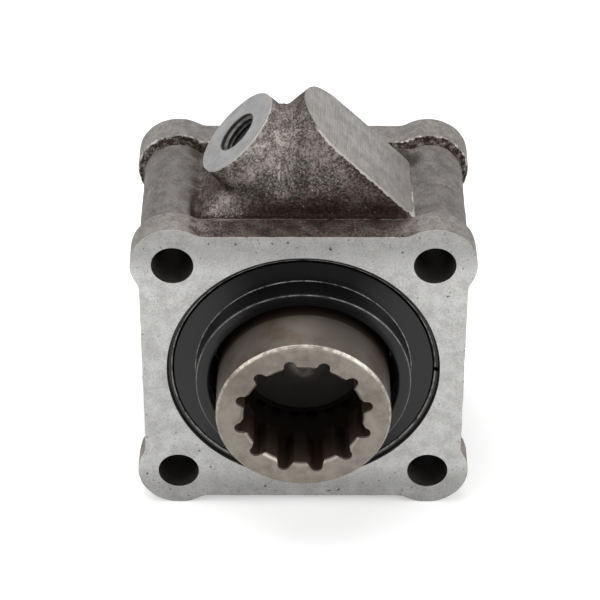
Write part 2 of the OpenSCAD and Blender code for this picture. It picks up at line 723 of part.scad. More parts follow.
// Rubber lip of the shaft seal, bonded inside the case and bent onto the shaft.
module seal_lip() {
  back = seal_rear_y - seal_wall - seat_gap;
  tip_y = seal_y + 3;
  color("#2a2422") lathe([
    [shaft_seat_r + 8, back], [shaft_seat_r + 8, back - 1.2], [shaft_seat_r + 3, back - 1.3],
    [shaft_seat_r + 2.5, seal_y + 1], [shaft_seat_r + 1.3, seal_y + 1], [shaft_seat_r + slide_fit, tip_y],
    [shaft_seat_r + 1.6, tip_y + 1.4], [shaft_seat_r + 1.8, back]
  ]);
}

// Garter spring that presses the lip onto the shaft.
module seal_garter_spring() {
  color("#9a9a9c") torus(shaft_seat_r + 2.75 + garter_d / 2, seal_y + 2.6, garter_d);
}

housing();
cover();
cover_o_ring();
snap_ring();
return_spring();
spring_seat();
piston();
piston_o_ring();
narrow_bore_o_ring();
piston_circlip();
shift_bearing_outer_ring();
shift_bearing_inner_ring();
shift_bearing_balls();
shift_bearing_cage();
coupling_sleeve();
sleeve_circlip();
output_shaft();
shaft_plug();
plug_o_ring();
main_bearing_outer_ring();
main_bearing_inner_ring();
main_bearing_balls();
main_bearing_cage();
shaft_circlip();
bearing_circlip();
seal_case();
seal_lip();
seal_garter_spring();
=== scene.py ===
"""Looks of an air-shifted power take off unit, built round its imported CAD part.

Fields that hold sizes are in millimetres. Meshes are modelled in millimetres and scaled to metres once, when they
become finished pieces. The shaft axis is Y, the gearbox face is the plane y = 0 and +Z is up.
"""

from __future__ import annotations

import logging
import math
from dataclasses import dataclass
from enum import Enum
from typing import Any, Iterable

import bmesh
import bpy
from mathutils import Matrix, Vector, noise
from mathutils.geometry import intersect_point_line

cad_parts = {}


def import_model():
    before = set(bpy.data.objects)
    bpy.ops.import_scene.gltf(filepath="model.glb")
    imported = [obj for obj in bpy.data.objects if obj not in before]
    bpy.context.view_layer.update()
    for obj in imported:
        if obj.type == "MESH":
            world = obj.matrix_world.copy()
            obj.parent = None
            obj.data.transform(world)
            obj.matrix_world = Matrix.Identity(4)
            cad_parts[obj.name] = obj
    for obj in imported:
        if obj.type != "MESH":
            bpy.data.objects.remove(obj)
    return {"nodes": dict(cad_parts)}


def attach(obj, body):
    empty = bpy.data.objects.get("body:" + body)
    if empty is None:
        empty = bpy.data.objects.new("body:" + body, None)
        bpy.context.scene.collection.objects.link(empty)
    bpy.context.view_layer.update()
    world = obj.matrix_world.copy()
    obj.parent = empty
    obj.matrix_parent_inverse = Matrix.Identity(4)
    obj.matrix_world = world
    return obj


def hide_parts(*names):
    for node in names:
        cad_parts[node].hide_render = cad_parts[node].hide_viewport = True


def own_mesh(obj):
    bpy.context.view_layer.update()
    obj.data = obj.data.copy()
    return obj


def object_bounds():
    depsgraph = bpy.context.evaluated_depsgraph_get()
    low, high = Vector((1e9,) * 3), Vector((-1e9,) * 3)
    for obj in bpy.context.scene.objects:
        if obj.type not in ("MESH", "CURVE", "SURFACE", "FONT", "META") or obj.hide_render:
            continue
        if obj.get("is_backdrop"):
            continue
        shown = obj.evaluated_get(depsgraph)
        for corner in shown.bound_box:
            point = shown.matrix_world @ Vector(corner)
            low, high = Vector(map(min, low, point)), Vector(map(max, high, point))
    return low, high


LOG = logging.getLogger("power_take_off")
MM = 0.001
SQRT_HALF = math.sqrt(0.5)

# Sizes of the housing that its shape, its thread and its skin share
HOUSING_LENGTH = 64.5
FLANGE_T = 10.6
FORK = Vector((-6.0, 28.0, 56.0))
PORT_ARM = 20.5
BLANK_ARM = 23.8


def linear(colour: str) -> tuple[float, float, float, float]:
    """Turns an sRGB hex colour into linear light.

    Args:
        colour: Six hex digits with a leading hash.

    Returns:
        Red, green, blue and alpha as Blender's sockets take them.
    """
    parts = [int(colour[i : i + 2], 16) / 255 for i in (1, 3, 5)]
    red, green, blue = (c / 12.92 if c <= 0.04045 else ((c + 0.055) / 1.055) ** 2.4 for c in parts)
    return red, green, blue, 1.0


def add(
    tree: bpy.types.NodeTree, kind: str, inputs: dict[int | str, Any] | None = None, **settings: Any
) -> bpy.types.Node:
    """Adds a node with its settings and links.

    Args:
        tree: Node tree that gets the node.
        kind: Blender's name of the node's type.
        inputs: Input names or numbers, each with a constant, a socket, or a node whose first output is linked.
        settings: Properties of the node itself.

    Returns:
        The new node.
    """
    made = tree.nodes.new(kind)
    for key, value in settings.items():
        setattr(made, key, value)
    for key, value in (inputs or {}).items():
        source = value.outputs[0] if isinstance(value, bpy.types.Node) else value
        if isinstance(source, bpy.types.NodeSocket):
            tree.links.new(source, made.inputs[key])
        else:
            made.inputs[key].default_value = source
    return made


class Body(Enum):
    """Bodies of the part that move apart from each other."""

    CASING = "casing"
    SHAFT = "shaft"
    SLEEVE = "sleeve"


class Axis(Enum):
    """Unit directions that the housing's faces and edges lie square to."""

    FRONT = (0.0, -1.0, 0.0)
    REAR = (0.0, 1.0, 0.0)
    RIGHT = (1.0, 0.0, 0.0)
    PORT_ARM = (-SQRT_HALF, 0.0, SQRT_HALF)
    BLANK_ARM = (SQRT_HALF, 0.0, SQRT_HALF)


# Finishes


@dataclass(frozen=True)
class Finish:
    """A surface of one kind of material, made as a procedural Blender material.

    Noise scales are counts per millimetre, because each pattern reads coordinates in millimetres.

    Attributes:
        name: Name of the material.
    """

    name: str

    def material(self) -> bpy.types.Material:
        """Returns the material, made once and then shared."""
        made = bpy.data.materials.get(self.name)
        if made is None:
            made = bpy.data.materials.new(self.name)
            made.use_nodes = True
            made.node_tree.nodes.clear()
            surface = self.surface(made.node_tree)
            add(made.node_tree, "ShaderNodeOutputMaterial", {"Surface": surface})
        return made

    def surface(self, tree: bpy.types.NodeTree) -> bpy.types.Node:
        """Builds the shader.

        Args:
            tree: The material's empty node tree.

        Returns:
            The shader node that goes to the material's surface.
        """
        raise NotImplementedError

    @staticmethod
    def millimetres(tree: bpy.types.NodeTree, stretch: tuple[float, float, float] = (1, 1, 1)) -> bpy.types.Node:
        """Gives a piece's own coordinates in millimetres, each axis times a stretch.

        Args:
            tree: Node tree that gets the nodes.
            stretch: Factor on X, Y and Z, below 1 where a pattern is drawn out.

        Returns:
            The mapping node.
        """
        own = add(tree, "ShaderNodeTexCoord")
        scale = tuple(1000.0 * s for s in stretch)
        return add(tree, "ShaderNodeMapping", {"Vector": own.outputs["Object"], "Scale": scale})

    @staticmethod
    def radius(tree: bpy.types.NodeTree, place: bpy.types.Node) -> bpy.types.NodeSocket:
        """Gives the distance from the shaft axis in millimetres.

        Args:
            tree: Node tree that gets the nodes.
            place: The node with the coordinates in millimetres.

        Returns:
            The socket with the distance.
        """
        flat = add(tree, "ShaderNodeVectorMath", {0: place, 1: (1, 0, 1)}, operation="MULTIPLY")
        return add(tree, "ShaderNodeVectorMath", {0: flat}, operation="LENGTH").outputs["Value"]

    @staticmethod
    def band(tree: bpy.types.NodeTree, value: Any, off: float, on: float) -> bpy.types.Node:
        """Makes a soft mask that is 0 where a value reaches off and 1 where it reaches on.

        Args:
            tree: Node tree that gets the node.
            value: Node or socket that is read.
            off: Value at which the mask is 0.
            on: Value at which the mask is 1.

        Returns:
            The mask node.
        """
        low, high = min(off, on), max(off, on)
        ends = (0.0, 1.0) if on > off else (1.0, 0.0)
        return add(
            tree,
            "ShaderNodeMapRange",
            {"Value": value, "From Min": low, "From Max": high, "To Min": ends[0], "To Max": ends[1]},
            interpolation_type="SMOOTHSTEP",
        )

    @staticmethod
    def overlap(tree: bpy.types.NodeTree, *masks: Any) -> bpy.types.Node:
        """Marks where all masks meet, each as strong as the others let it be.

        Args:
            tree: Node tree that gets the nodes.
            masks: Mask nodes or sockets; a plain number weakens the result.

        Returns:
            The mask node.
        """
        met, *others = masks
        for mask in others:
            met = add(tree, "ShaderNodeMath", {0: met, 1: mask}, operation="MULTIPLY")
        return met

    @staticmethod
    def union(tree: bpy.types.NodeTree, *masks: Any) -> bpy.types.Node:
        """Marks where any of the masks is, as strong as the strongest.

        Args:
            tree: Node tree that gets the nodes.
            masks: Mask nodes or sockets.

        Returns:
            The mask node.
        """
        joined, *others = masks
        for mask in others:
            joined = add(tree, "ShaderNodeMath", {0: joined, 1: mask}, operation="MAXIMUM")
        return joined

    @staticmethod
    def coated(tree: bpy.types.NodeTree, under: Any, *coats: tuple[Any, Any]) -> bpy.types.NodeSocket:
        """Lays coats over a colour, each as thick as its mask.

        Args:
            tree: Node tree that gets the nodes.
            under: Hex colour or colour socket below all coats.
            coats: Mask and colour of each coat, the lowest first.

        Returns:
            The socket with the colour on top.
        """
        tone = linear(under) if isinstance(under, str) else under
        for mask, colour in coats:
            over = linear(colour) if isinstance(colour, str) else colour
            tone = add(tree, "ShaderNodeMix", {0: mask, 6: tone, 7: over}, data_type="RGBA").outputs[2]
        return tone


@dataclass(frozen=True)
class PlainFinish(Finish):
    """An even surface with a light cloudiness and a fine grain, for inner parts.

    Attributes:
        colour: Main colour.
        clouded: Colour of the cloudy patches.
        metallic: 1 for bare metal and 0 for rubber.
        roughness: How much the surface scatters a reflection.
        patch_mm: Size of the cloudy patches.
        grain_mm: Spacing of the grain that the bump shows.
        grain_depth_mm: Height of the grain.
    """

    colour: str
    clouded: str
    metallic: float
    roughness: float
    patch_mm: float = 6.0
    grain_mm: float = 0.5
    grain_depth_mm: float = 0.01

    def surface(self, tree: bpy.types.NodeTree) -> bpy.types.Node:
        """Builds a two-tone shader with a fine bump.

        Args:
            tree: The material's empty node tree.

        Returns:
            The shader node.
        """
        place = self.millimetres(tree)
        cloud = add(tree, "ShaderNodeTexNoise", {"Vector": place, "Scale": 1 / self.patch_mm, "Detail": 3.0})
        grain = add(tree, "ShaderNodeTexNoise", {"Vector": place, "Scale": 1 / self.grain_mm, "Detail": 1.0})
        depth = self.grain_depth_mm * MM
        return add(
            tree,
            "ShaderNodeBsdfPrincipled",
            {
                "Base Color": self.coated(tree, self.colour, (self.band(tree, cloud, 0.35, 0.65), self.clouded)),
                "Metallic": self.metallic,
                "Roughness": self.roughness,
                "Normal": add(tree, "ShaderNodeBump", {"Height": grain, "Strength": 1.0, "Distance": depth}),
            },
        )


@dataclass(frozen=True)
class SkinMaps:
    """Nodes that several steps of the cast skin's shader read.

    Attributes:
        place: Coordinates in millimetres.
        parts: The same coordinates, split into X, Y and Z.
        side: Distance from the middle plane, made uneven so that zones have no straight border.
        mottle: Print of the sand and lumps of the mould together.
        coarse: Where the skin is coarse.
        lit_zone: Where the boss is painted lighter, as painted light where it faces the lamps.
        stains: Pattern of the rust stains.
        granules: Pattern of the pits and of the painted glints.
    """

    place: bpy.types.Node
    parts: bpy.types.Node
    side: bpy.types.Node
    mottle: bpy.types.Node
    coarse: bpy.types.Node
    lit_zone: bpy.types.Node
    stains: bpy.types.Node
    granules: bpy.types.Node


@dataclass(frozen=True)
class SandCastIron(Finish):
    """Grey iron as it leaves a sand mould: dull, grainy, brown from rust, with bright specks of exposed metal.

    The boss and the top of the front flange are the coarse part of the skin, the pillars the smoother and lighter
    one. Edges next to machined faces and along the mould's joint show a ragged bright line, partly burr and partly
    painted highlight. Shade in crevices and between the flanges, and the boss's sheen and glints, are painted into the
    colour.

    Attributes:
        dark: Colour in the hollows of the coarse skin.
        light: Colour on the high spots of the coarse skin.
        smooth_dark: Darker colour of the smoother skin.
        smooth_light: Lighter colour of the smoother skin.
        rust: Colour of the rust stains.
        speck_and_glint: Colour of the exposed specks and burrs, and of the painted glints and edge highlights.
        crevice_shade: Colour of the painted shade in the groove in front of the rear flange and at the boss's foot.
        grime_and_shade: Colour of settled dust and oil in the pits, and of the painted shade.
        lit_tone: Colour of the high spots where the boss is painted lighter, as painted light where it faces the
            lamps.
        grit_mm: Spacing of the moulding sand's print, drawn a little coarser than real sand so that it shows.
        lump_mm: Size of the mould's lumps.
        coarse_zone: Where the coarse skin ends and is full, from the middle plane, along the shaft and in height.
        between: Where the painted shade between the flanges starts and is full, at the front and at the rear.
        groove: Distance of the painted dark groove from the rear flange, and half its width.
        lit_zones: Middle, radius and strength of the places on the boss that are painted lighter, as painted light on
            the upper boss, and where exposed specks are densest.
        shade_and_dirt: Middle, radius and strength of the places painted darker: mostly painted shade at the boss's
            foot, under the port arm and in the crevices, and a darker skin on the front flange's top.
    """

    dark: str = "#221c19"
    light: str = "#6b625d"
    smooth_dark: str = "#66625f"
    smooth_light: str = "#8d8986"
    rust: str = "#54352a"
    speck_and_glint: str = "#d3cbc4"
    crevice_shade: str = "#241914"
    grime_and_shade: str = "#1a1512"
    lit_tone: str = "#ded5cd"
    grit_mm: float = 0.7
    lump_mm: float = 4.0
    coarse_zone: tuple[tuple[float, float], ...] = ((40.0, 34.0), (54.5, 51.0), (32.0, 42.0))
    between: tuple[tuple[float, float], ...] = ((10.5, 12.0), (54.0, 52.0))
    groove: tuple[float, float] = (0.7, 1.1)
    # Painted light on the upper boss, and a speckled place under the port arm.
    lit_zones: tuple[tuple[tuple[float, float, float], float, float], ...] = (
        ((-14.0, 15.0, 74.0), 23.0, 1.0),
        ((-7.0, 14.0, 62.0), 9.0, 0.9),
        ((6.0, 14.0, 67.0), 14.0, 0.55),
        ((-24.0, 15.5, 50.0), 8.0, 1.0),
    )
    # Mostly painted shade: at the boss's foot, under the port arm and in crevices; the last place darkens the front
    # flange's top.
    shade_and_dirt: tuple[tuple[tuple[float, float, float], float, float], ...] = (
        ((-7.0, 14.0, 47.0), 12.0, 0.95),
        ((6.0, 14.0, 47.0), 17.0, 0.95),
        ((23.0, 14.0, 46.0), 16.0, 0.95),
        ((-26.2, 19.0, 59.8), 4.5, 0.9),
        ((-22.7, 19.0, 57.0), 4.5, 0.95),
        ((-18.5, 18.0, 53.7), 5.0, 0.95),
        ((-14.0, 17.0, 51.5), 6.5, 0.95),
        ((-33.5, 17.0, 46.5), 6.5, 0.85),
        ((33.5, 46.0, 50.0), 7.0, 0.8),
        ((-33.5, 50.0, 50.0), 6.0, 0.7),
        ((0.0, 6.0, 54.0), 34.0, 0.5),
    )

    def maps(self, tree: bpy.types.NodeTree) -> SkinMaps:
        """Makes the patterns and zones that the skin's steps share.

        Args:
            tree: The material's empty node tree.

        Returns:
            The nodes.
        """
        place = self.millimetres(tree)
        parts = add(tree, "ShaderNodeSeparateXYZ", {0: place})
        grit, lumps, stains, granules = (
            add(tree, "ShaderNodeTexNoise", {"Vector": place, "Scale": scale, "Detail": detail, "Roughness": rough})
            for scale, detail, rough in (
                (1 / self.grit_mm, 3.0, 0.65),
                (1 / self.lump_mm, 3.0, 0.6),
                (0.6, 5.0, 0.8),
                (1.25, 3.0, 0.6),
            )
        )
        side = add(tree, "ShaderNodeMath", {0: parts.outputs["X"]}, operation="ABSOLUTE")
        side = add(tree, "ShaderNodeMath", {0: lumps, 1: 8.0, 2: side}, operation="MULTIPLY_ADD")
        edges = (side, parts.outputs["Y"], parts.outputs["Z"])
        return SkinMaps(
            place=place,
            parts=parts,
            side=side,
            mottle=add(tree, "ShaderNodeMath", {0: grit, 1: lumps}, operation="ADD"),
            coarse=self.overlap(tree, *(self.band(tree, at, *ends) for at, ends in zip(edges, self.coarse_zone))),
            lit_zone=self.zones(tree, place, self.lit_zones),
            stains=stains,
            granules=granules,
        )

    def zones(
        self,
        tree: bpy.types.NodeTree,
        place: bpy.types.Node,
        balls: Iterable[tuple[tuple[float, float, float], float, float]],
    ) -> bpy.types.Node:
        """Marks soft round places on the skin.

        Args:
            tree: The material's node tree.
            place: The node with the coordinates in millimetres.
            balls: Middle, radius and strength of each place.

        Returns:
            The mask node.
        """
        marked = []
        for middle, reach, strength in balls:
            away = add(tree, "ShaderNodeVectorMath", {0: place, 1: middle}, operation="DISTANCE")
            zone = self.band(tree, away.outputs["Value"], reach, 0.25 * reach)
            marked.append(self.overlap(tree, zone, strength))
        return self.union(tree, *marked)

    def lines(self, tree: bpy.types.NodeTree, maps: SkinMaps) -> bpy.types.Node:
        """Marks the thin uneven bright lines at the skin's edges and along the mould's joint: burrs, and painted
        highlights on the edges.

        Args:
            tree: The material's node tree.
            maps: The skin's shared nodes.

        Returns:
            The mask node.
        """
        depth, height = maps.parts.outputs["Y"], maps.parts.outputs["Z"]
        side = add(tree, "ShaderNodeMath", {0: maps.parts.outputs["X"]}, operation="ABSOLUTE")
        ragged = add(tree, "ShaderNodeTexNoise", {"Vector": maps.place, "Scale": 0.8, "Detail": 3.0})
        shake = {"Value": ragged, "From Min": 0.3, "From Max": 0.7, "To Min": -1.0, "To Max": 1.0}
        shake = add(tree, "ShaderNodeMapRange", shake)
        patches = add(tree, "ShaderNodeTexNoise", {"Vector": maps.place, "Scale": 0.3, "Detail": 3.0})
        broken = self.band(tree, ragged, 0.44, 0.52)
        patchy = self.band(tree, patches, 0.4, 0.55)
        inner = self.band(tree, side, 34.5, 33.5)
        outer = self.band(tree, side, 27, 30)
        on_arms = self.band(tree, depth, 31, 28)
        on_front = self.band(tree, depth, 20, 17)
        past_flange = self.band(tree, depth, FLANGE_T + 1.5, FLANGE_T + 2.5)
        high = self.band(tree, height, 47.5, 48.5)
        on_fork = self.band(tree, height, 60, 64)
        below_crest = self.band(tree, height, 80, 78)
        reach_port = PORT_ARM + (FORK.z - FORK.x) * SQRT_HALF
        reach_blank = BLANK_ARM + (FORK.z + FORK.x) * SQRT_HALF
        drawn = []
        # Painted highlights: the lines on the edges of the machined faces and of the flanges stand for light that
        # these edges catch; the line down the boss and the one at y 30.5 are burrs along the mould's joint.
        for axis, at, width, regions, strength in (
            (Axis.FRONT, 0.0, 0.22, (), 0.6),
            (Axis.REAR, HOUSING_LENGTH, 0.22, (), 0.6),
            (Axis.PORT_ARM, reach_port, 0.4, (inner,), 0.8),
            (Axis.BLANK_ARM, reach_blank, 0.75, (inner, on_arms, past_flange, below_crest), 0.9),
            (Axis.RIGHT, FORK.x - 1.4, 0.35, (broken, on_front, on_fork), 0.5),
            (Axis.REAR, FLANGE_T - 0.6, 0.3, (inner, high, patchy), 0.2),
            (Axis.REAR, FLANGE_T + 0.6, 0.3, (outer, broken), 0.2),
            (Axis.REAR, HOUSING_LENGTH - FLANGE_T + 0.7, 0.4, (outer, broken, patchy), 0.75),
            (Axis.REAR, 30.5, 0.25, (outer, broken, patchy), 0.25),
        ):
            along = add(tree, "ShaderNodeVectorMath", {0: maps.place, 1: axis.value}, operation="DOT_PRODUCT")
            shaken = {0: shake, 1: 0.5 * width, 2: along.outputs["Value"]}
            shaken = add(tree, "ShaderNodeMath", shaken, operation="MULTIPLY_ADD")
            line = add(tree, "ShaderNodeMath", {0: shaken, 1: at, 2: width}, operation="COMPARE")
            drawn.append(self.overlap(tree, line, *regions, strength))
        return self.union(tree, *drawn)

    def skin(self, tree: bpy.types.NodeTree, maps: SkinMaps) -> bpy.types.NodeSocket:
        """Mixes the clean skin: coarse and dark on the boss, painted lighter where the boss faces the lamps, smooth
        and pale elsewhere.

        Args:
            tree: The material's node tree.
            maps: The skin's shared nodes.

        Returns:
            The socket with the colour.
        """
        rough = self.coated(tree, self.dark, (self.band(tree, maps.mottle, 0.85, 1.12), self.light))
        smooth = self.coated(tree, self.smooth_dark, (self.band(tree, maps.mottle, 0.75, 1.25), self.smooth_light))
        bright = self.coated(tree, self.smooth_dark, (self.band(tree, maps.mottle, 0.9, 1.2), self.lit_tone))
        # Painted light: the boss is painted lighter in the listed zones, as where it faces the lamps.
        rough = self.coated(tree, rough, (self.overlap(tree, maps.lit_zone, 0.95), bright))
        return self.coated(tree, smooth, (maps.coarse, rough))

    def shade_and_dust(self, tree: bpy.types.NodeTree, maps: SkinMaps) -> bpy.types.Node:
        """Marks the painted shade between the flanges and at the listed places, most of which are painted shade in
        crevices, at the boss's foot and under the port arm.

        Args:
            tree: The material's node tree.
            maps: The skin's shared nodes.

        Returns:
            The mask node.
        """
        depth = maps.parts.outputs["Y"]
        # Painted shade between the flanges, weaker where the boss is painted lighter.
        between = self.overlap(tree, *(self.band(tree, depth, *ends) for ends in self.between))
        shade = add(tree, "ShaderNodeMapRange", {"Value": maps.lit_zone, "To Min": 0.3, "To Max": 0.0})
        return self.union(tree, self.overlap(tree, between, shade), self.zones(tree, maps.place, self.shade_and_dirt))

    def crevice_shaded(self, tree: bpy.types.NodeTree, maps: SkinMaps) -> bpy.types.Node:
        """Marks the painted shade in the groove in front of the rear flange and in the crevice at the boss's foot.

        Args:
            tree: The material's node tree.
            maps: The skin's shared nodes.

        Returns:
            The mask node.
        """
        depth, height = maps.parts.outputs["Y"], maps.parts.outputs["Z"]
        off, half = self.groove
        # Painted shade in the groove before the rear flange, broken up by the stain pattern; below, the foot is
        # painted shade in the crevice at the boss's foot.
        groove = add(
            tree, "ShaderNodeMath", {0: depth, 1: HOUSING_LENGTH - FLANGE_T - off, 2: half}, operation="COMPARE"
        )
        foot = self.overlap(
            tree,
            self.band(tree, depth, FLANGE_T - 0.6, FLANGE_T + 0.3),
            maps.coarse,
            self.band(tree, depth, FLANGE_T + 4.5, FLANGE_T + 1.5),
            self.band(tree, height, 54.5, 51.5),
            self.band(tree, maps.side, 37, 33),
        )
        return self.union(tree, self.overlap(tree, groove, self.band(tree, maps.stains, 0.3, 0.55)), foot)

    def bare_and_highlight(self, tree: bpy.types.NodeTree, maps: SkinMaps) -> bpy.types.Node:
        """Marks exposed metal and painted highlights: single specks, clusters of painted glints where the boss is
        painted lighter, and the burrs and painted edge highlights.

        Args:
            tree: The material's node tree.
            maps: The skin's shared nodes.

        Returns:
            The mask node.
        """
        cells = add(tree, "ShaderNodeTexVoronoi", {"Vector": maps.place, "Scale": 1.15})
        pick = add(tree, "ShaderNodeSeparateColor", {0: cells.outputs["Color"]})
        wanted = add(tree, "ShaderNodeMath", {0: maps.lit_zone, 1: 0.6, 2: pick.outputs[0]}, operation="MULTIPLY_ADD")
        specks = self.overlap(
            tree,
            self.band(tree, cells.outputs["Distance"], 0.34, 0.12),
            self.band(tree, wanted, 0.9, 1.05),
            add(tree, "ShaderNodeMapRange", {"Value": maps.coarse, "To Min": 0.05, "To Max": 0.9}),
        )
        fine = {"Vector": maps.place, "Scale": 2.9, "Detail": 2.0, "Roughness": 0.7}
        lit_tone = self.overlap(tree, maps.lit_zone, maps.coarse)
        # Painted glints: clusters of small bright dots where the boss is painted lighter.
        painted_glints = self.overlap(
            tree,
            self.band(tree, maps.granules, 0.44, 0.58),
            self.band(tree, add(tree, "ShaderNodeTexNoise", fine), 0.46, 0.6),
            add(tree, "ShaderNodeMapRange", {"Value": lit_tone, "To Min": 0.05, "To Max": 0.9}),
        )
        return self.union(tree, specks, painted_glints, self.lines(tree, maps))

    def surface(self, tree: bpy.types.NodeTree) -> bpy.types.Node:
        """Builds the cast skin.

        Args:
            tree: The material's empty node tree.

        Returns:
            The shader node.
        """
        maps = self.maps(tree)
        shade_and_dust, crevice_shaded, bare_and_highlight = self.shade_and_dust(tree, maps), self.crevice_shaded(tree, maps), self.bare_and_highlight(tree, maps)
        rusty = self.overlap(
            tree,
            self.band(tree, maps.stains, 0.51, 0.64),
            add(tree, "ShaderNodeMapRange", {"Value": maps.coarse, "To Min": 0.2, "To Max": 0.8}),
        )
        pitted = self.overlap(
            tree,
            self.band(tree, maps.granules, 0.5, 0.38),
            maps.coarse,
            add(tree, "ShaderNodeMapRange", {"Value": maps.lit_zone, "To Min": 0.7, "To Max": 0.36}),
        )
        coats = (
            (shade_and_dust, self.grime_and_shade),
            (rusty, self.rust),
            (crevice_shaded, self.crevice_shade),
            (pitted, self.grime_and_shade),
            (bare_and_highlight, self.speck_and_glint),
        )
        dull = self.union(tree, shade_and_dust, crevice_shaded, pitted)
        gloss = add(tree, "ShaderNodeMapRange", {"Value": dull, "To Min": 0.45, "To Max": 0.05})
        depth = add(tree, "ShaderNodeMapRange", {"Value": maps.coarse, "To Min": 0.07 * MM, "To Max": 0.35 * MM})
        height = add(tree, "ShaderNodeMath", {0: maps.mottle, 1: bare_and_highlight}, operation="ADD")
        return add(
            tree,
            "ShaderNodeBsdfPrincipled",
            {
                "Base Color": self.coated(tree, self.skin(tree, maps), *coats),
                "Metallic": 0.1,
                "Roughness": 0.55,
                "Specular IOR Level": gloss,
                "Normal": add(tree, "ShaderNodeBump", {"Height": height, "Strength": 1.0, "Distance": depth}),
            },
        )


@dataclass(frozen=True)
class MachinedIron(Finish):
    """Grey iron cut by a tool: light, with fine tool lines, cloudy patches and a few dark pores and handling marks.

    Attributes:
        light: Colour of the clean metal.
        dull: Colour of the cloudy patches.
        pore: Colour inside the pores and marks, and of the greying.
        roughness: How much the cut face scatters a reflection.
        lines: Factor on X, Y and Z that draws the tool lines out; the small one is the direction of the lines.
        line_mm: Spacing of the tool lines, drawn coarser than real ones so that they show.
        pores: Share of the pores that shows, from 0 to 1.
        greyer_from: Height above or below the shaft axis at which the face starts to turn greyer and is fully greyer.
        film: How much greyer the face turns, from 0 to 1.
    """

    light: str
    dull: str
    pore: str = "#3a3735"
    roughness: float = 0.5
    lines: tuple[float, float, float] = (1.0, 1.0, 1.0)
    line_mm: float = 0.6
    pores: float = 1.0
    greyer_from: tuple[float, float] = (200.0, 210.0)
    film: float = 0.35

    def surface(self, tree: bpy.types.NodeTree) -> bpy.types.Node:
        """Builds the machined face.

        Args:
            tree: The material's empty node tree.

        Returns:
            The shader node.
        """
        place = self.millimetres(tree)
        drawn = self.millimetres(tree, self.lines)
        clouds, fine, holes = (
            add(tree, "ShaderNodeTexNoise", {"Vector": at, "Scale": scale, "Detail": detail, "Roughness": rough})
            for at, scale, detail, rough in (
                (place, 0.2, 5.0, 0.7),
                (drawn, 1 / self.line_mm, 3.0, 0.7),
                (place, 0.55, 3.0, 0.55),
            )
        )
        mixed = add(tree, "ShaderNodeMath", {0: clouds, 1: fine}, operation="ADD")
        # The greying's border wanders by the clouds' strength, 5 mm on average.
        parts = add(tree, "ShaderNodeSeparateXYZ", {0: place})
        height = add(tree, "ShaderNodeMath", {0: parts.outputs["Z"]}, operation="ABSOLUTE")
        height = add(tree, "ShaderNodeMath", {0: clouds, 1: 10.0, 2: height}, operation="MULTIPLY_ADD")
        filmy = self.overlap(tree, self.band(tree, height, *(end + 5 for end in self.greyer_from)), self.film)
        holes = add(tree, "ShaderNodeMath", {0: filmy, 1: 0.07, 2: holes}, operation="MULTIPLY_ADD")
        coats = (
            (self.band(tree, mixed, 1.25, 0.75), self.dull),
            (filmy, self.pore),
            (self.overlap(tree, self.band(tree, holes, 0.65, 0.73), self.pores), self.pore),
        )
        return add(
            tree,
            "ShaderNodeBsdfPrincipled",
            {
                "Base Color": self.coated(tree, self.light, *coats),
                "Metallic": 0.35,
                "Roughness": self.roughness,
                "Normal": add(tree, "ShaderNodeBump", {"Height": fine, "Strength": 1.0, "Distance": 0.02 * MM}),
            },
        )


@dataclass(frozen=True)
class BlackedMetal(Finish):
    """Turned metal with a thin black skin: charcoal, with a painted sheen to the left and right, as fine turning lines
    give it.

    Thin broken pale lines lie at given edges: wear through the skin on the cover, painted highlights on the snap wire
    and the plug.

    Attributes:
        skin: Colour of the skin.
        bare_and_highlight: Colour of the pale lines, exposed metal on the cover and painted highlight on the snap wire
            and the plug.
        rims: Radius and depth of each pale line, and how much of it shows.
        pale_line_mm: Width of the pale line.
        sheen: Strength of the reflection above and below the axis, and beside it.
    """

    skin: str = "#0f0f10"
    bare_and_highlight: str = "#b9b7b2"
    rims: tuple[tuple[float, float, float], ...] = ((33.35, -6.1, 0.5),)
    pale_line_mm: float = 0.22
    sheen: tuple[float, float] = (0.1, 0.46)

    def surface(self, tree: bpy.types.NodeTree) -> bpy.types.Node:
        """Builds the black skin with its worn edges.

        Args:
            tree: The material's empty node tree.

        Returns:
            The shader node.
        """
        place = self.millimetres(tree)
        parts = add(tree, "ShaderNodeSeparateXYZ", {0: place})
        out = self.radius(tree, place)
        section = add(tree, "ShaderNodeCombineXYZ", {0: out, 1: parts.outputs["Y"]})
        breaks = {"Vector": place, "Scale": 0.3, "Detail": 6.0, "Roughness": 0.75}
        breaks = add(tree, "ShaderNodeTexNoise", breaks)
        line_strength = {"Value": breaks, "From Min": 0.42, "From Max": 0.6, "To Min": 0.12, "To Max": 0.8}
        line_strength = add(tree, "ShaderNodeMapRange", line_strength)
        across = add(tree, "ShaderNodeMath", {0: parts.outputs["X"]}, operation="ABSOLUTE")
        beside = add(tree, "ShaderNodeMath", {0: across, 1: out}, operation="DIVIDE")
        # Painted sheen: the reflection is stronger beside the axis than above and below it.
        gloss = {"Value": self.band(tree, beside, 0.35, 0.85), "To Min": self.sheen[0], "To Max": self.sheen[1]}
        # Pale lines: wear on the cover's edges, painted highlights on the snap wire and the plug.
        edges = []
        for radius, depth, share in self.rims:
            gap = add(tree, "ShaderNodeVectorMath", {0: section, 1: (radius, depth, 0)}, operation="DISTANCE")
            line = self.band(tree, gap.outputs["Value"], self.pale_line_mm, 0.5 * self.pale_line_mm)
            edges.append(self.overlap(tree, line, share))
        shown = self.overlap(tree, self.union(tree, *edges), line_strength)
        grain = add(tree, "ShaderNodeTexNoise", {"Vector": place, "Scale": 2.5, "Detail": 2.0})
        return add(
            tree,
            "ShaderNodeBsdfPrincipled",
            {
                "Base Color": self.coated(tree, self.skin, (shown, self.bare_and_highlight)),
                "Metallic": 0.0,
                "Roughness": 0.3,
                "Specular IOR Level": add(tree, "ShaderNodeMapRange", gloss),
                "Normal": add(tree, "ShaderNodeBump", {"Height": grain, "Strength": 1.0, "Distance": 0.01 * MM}),
            },
        )


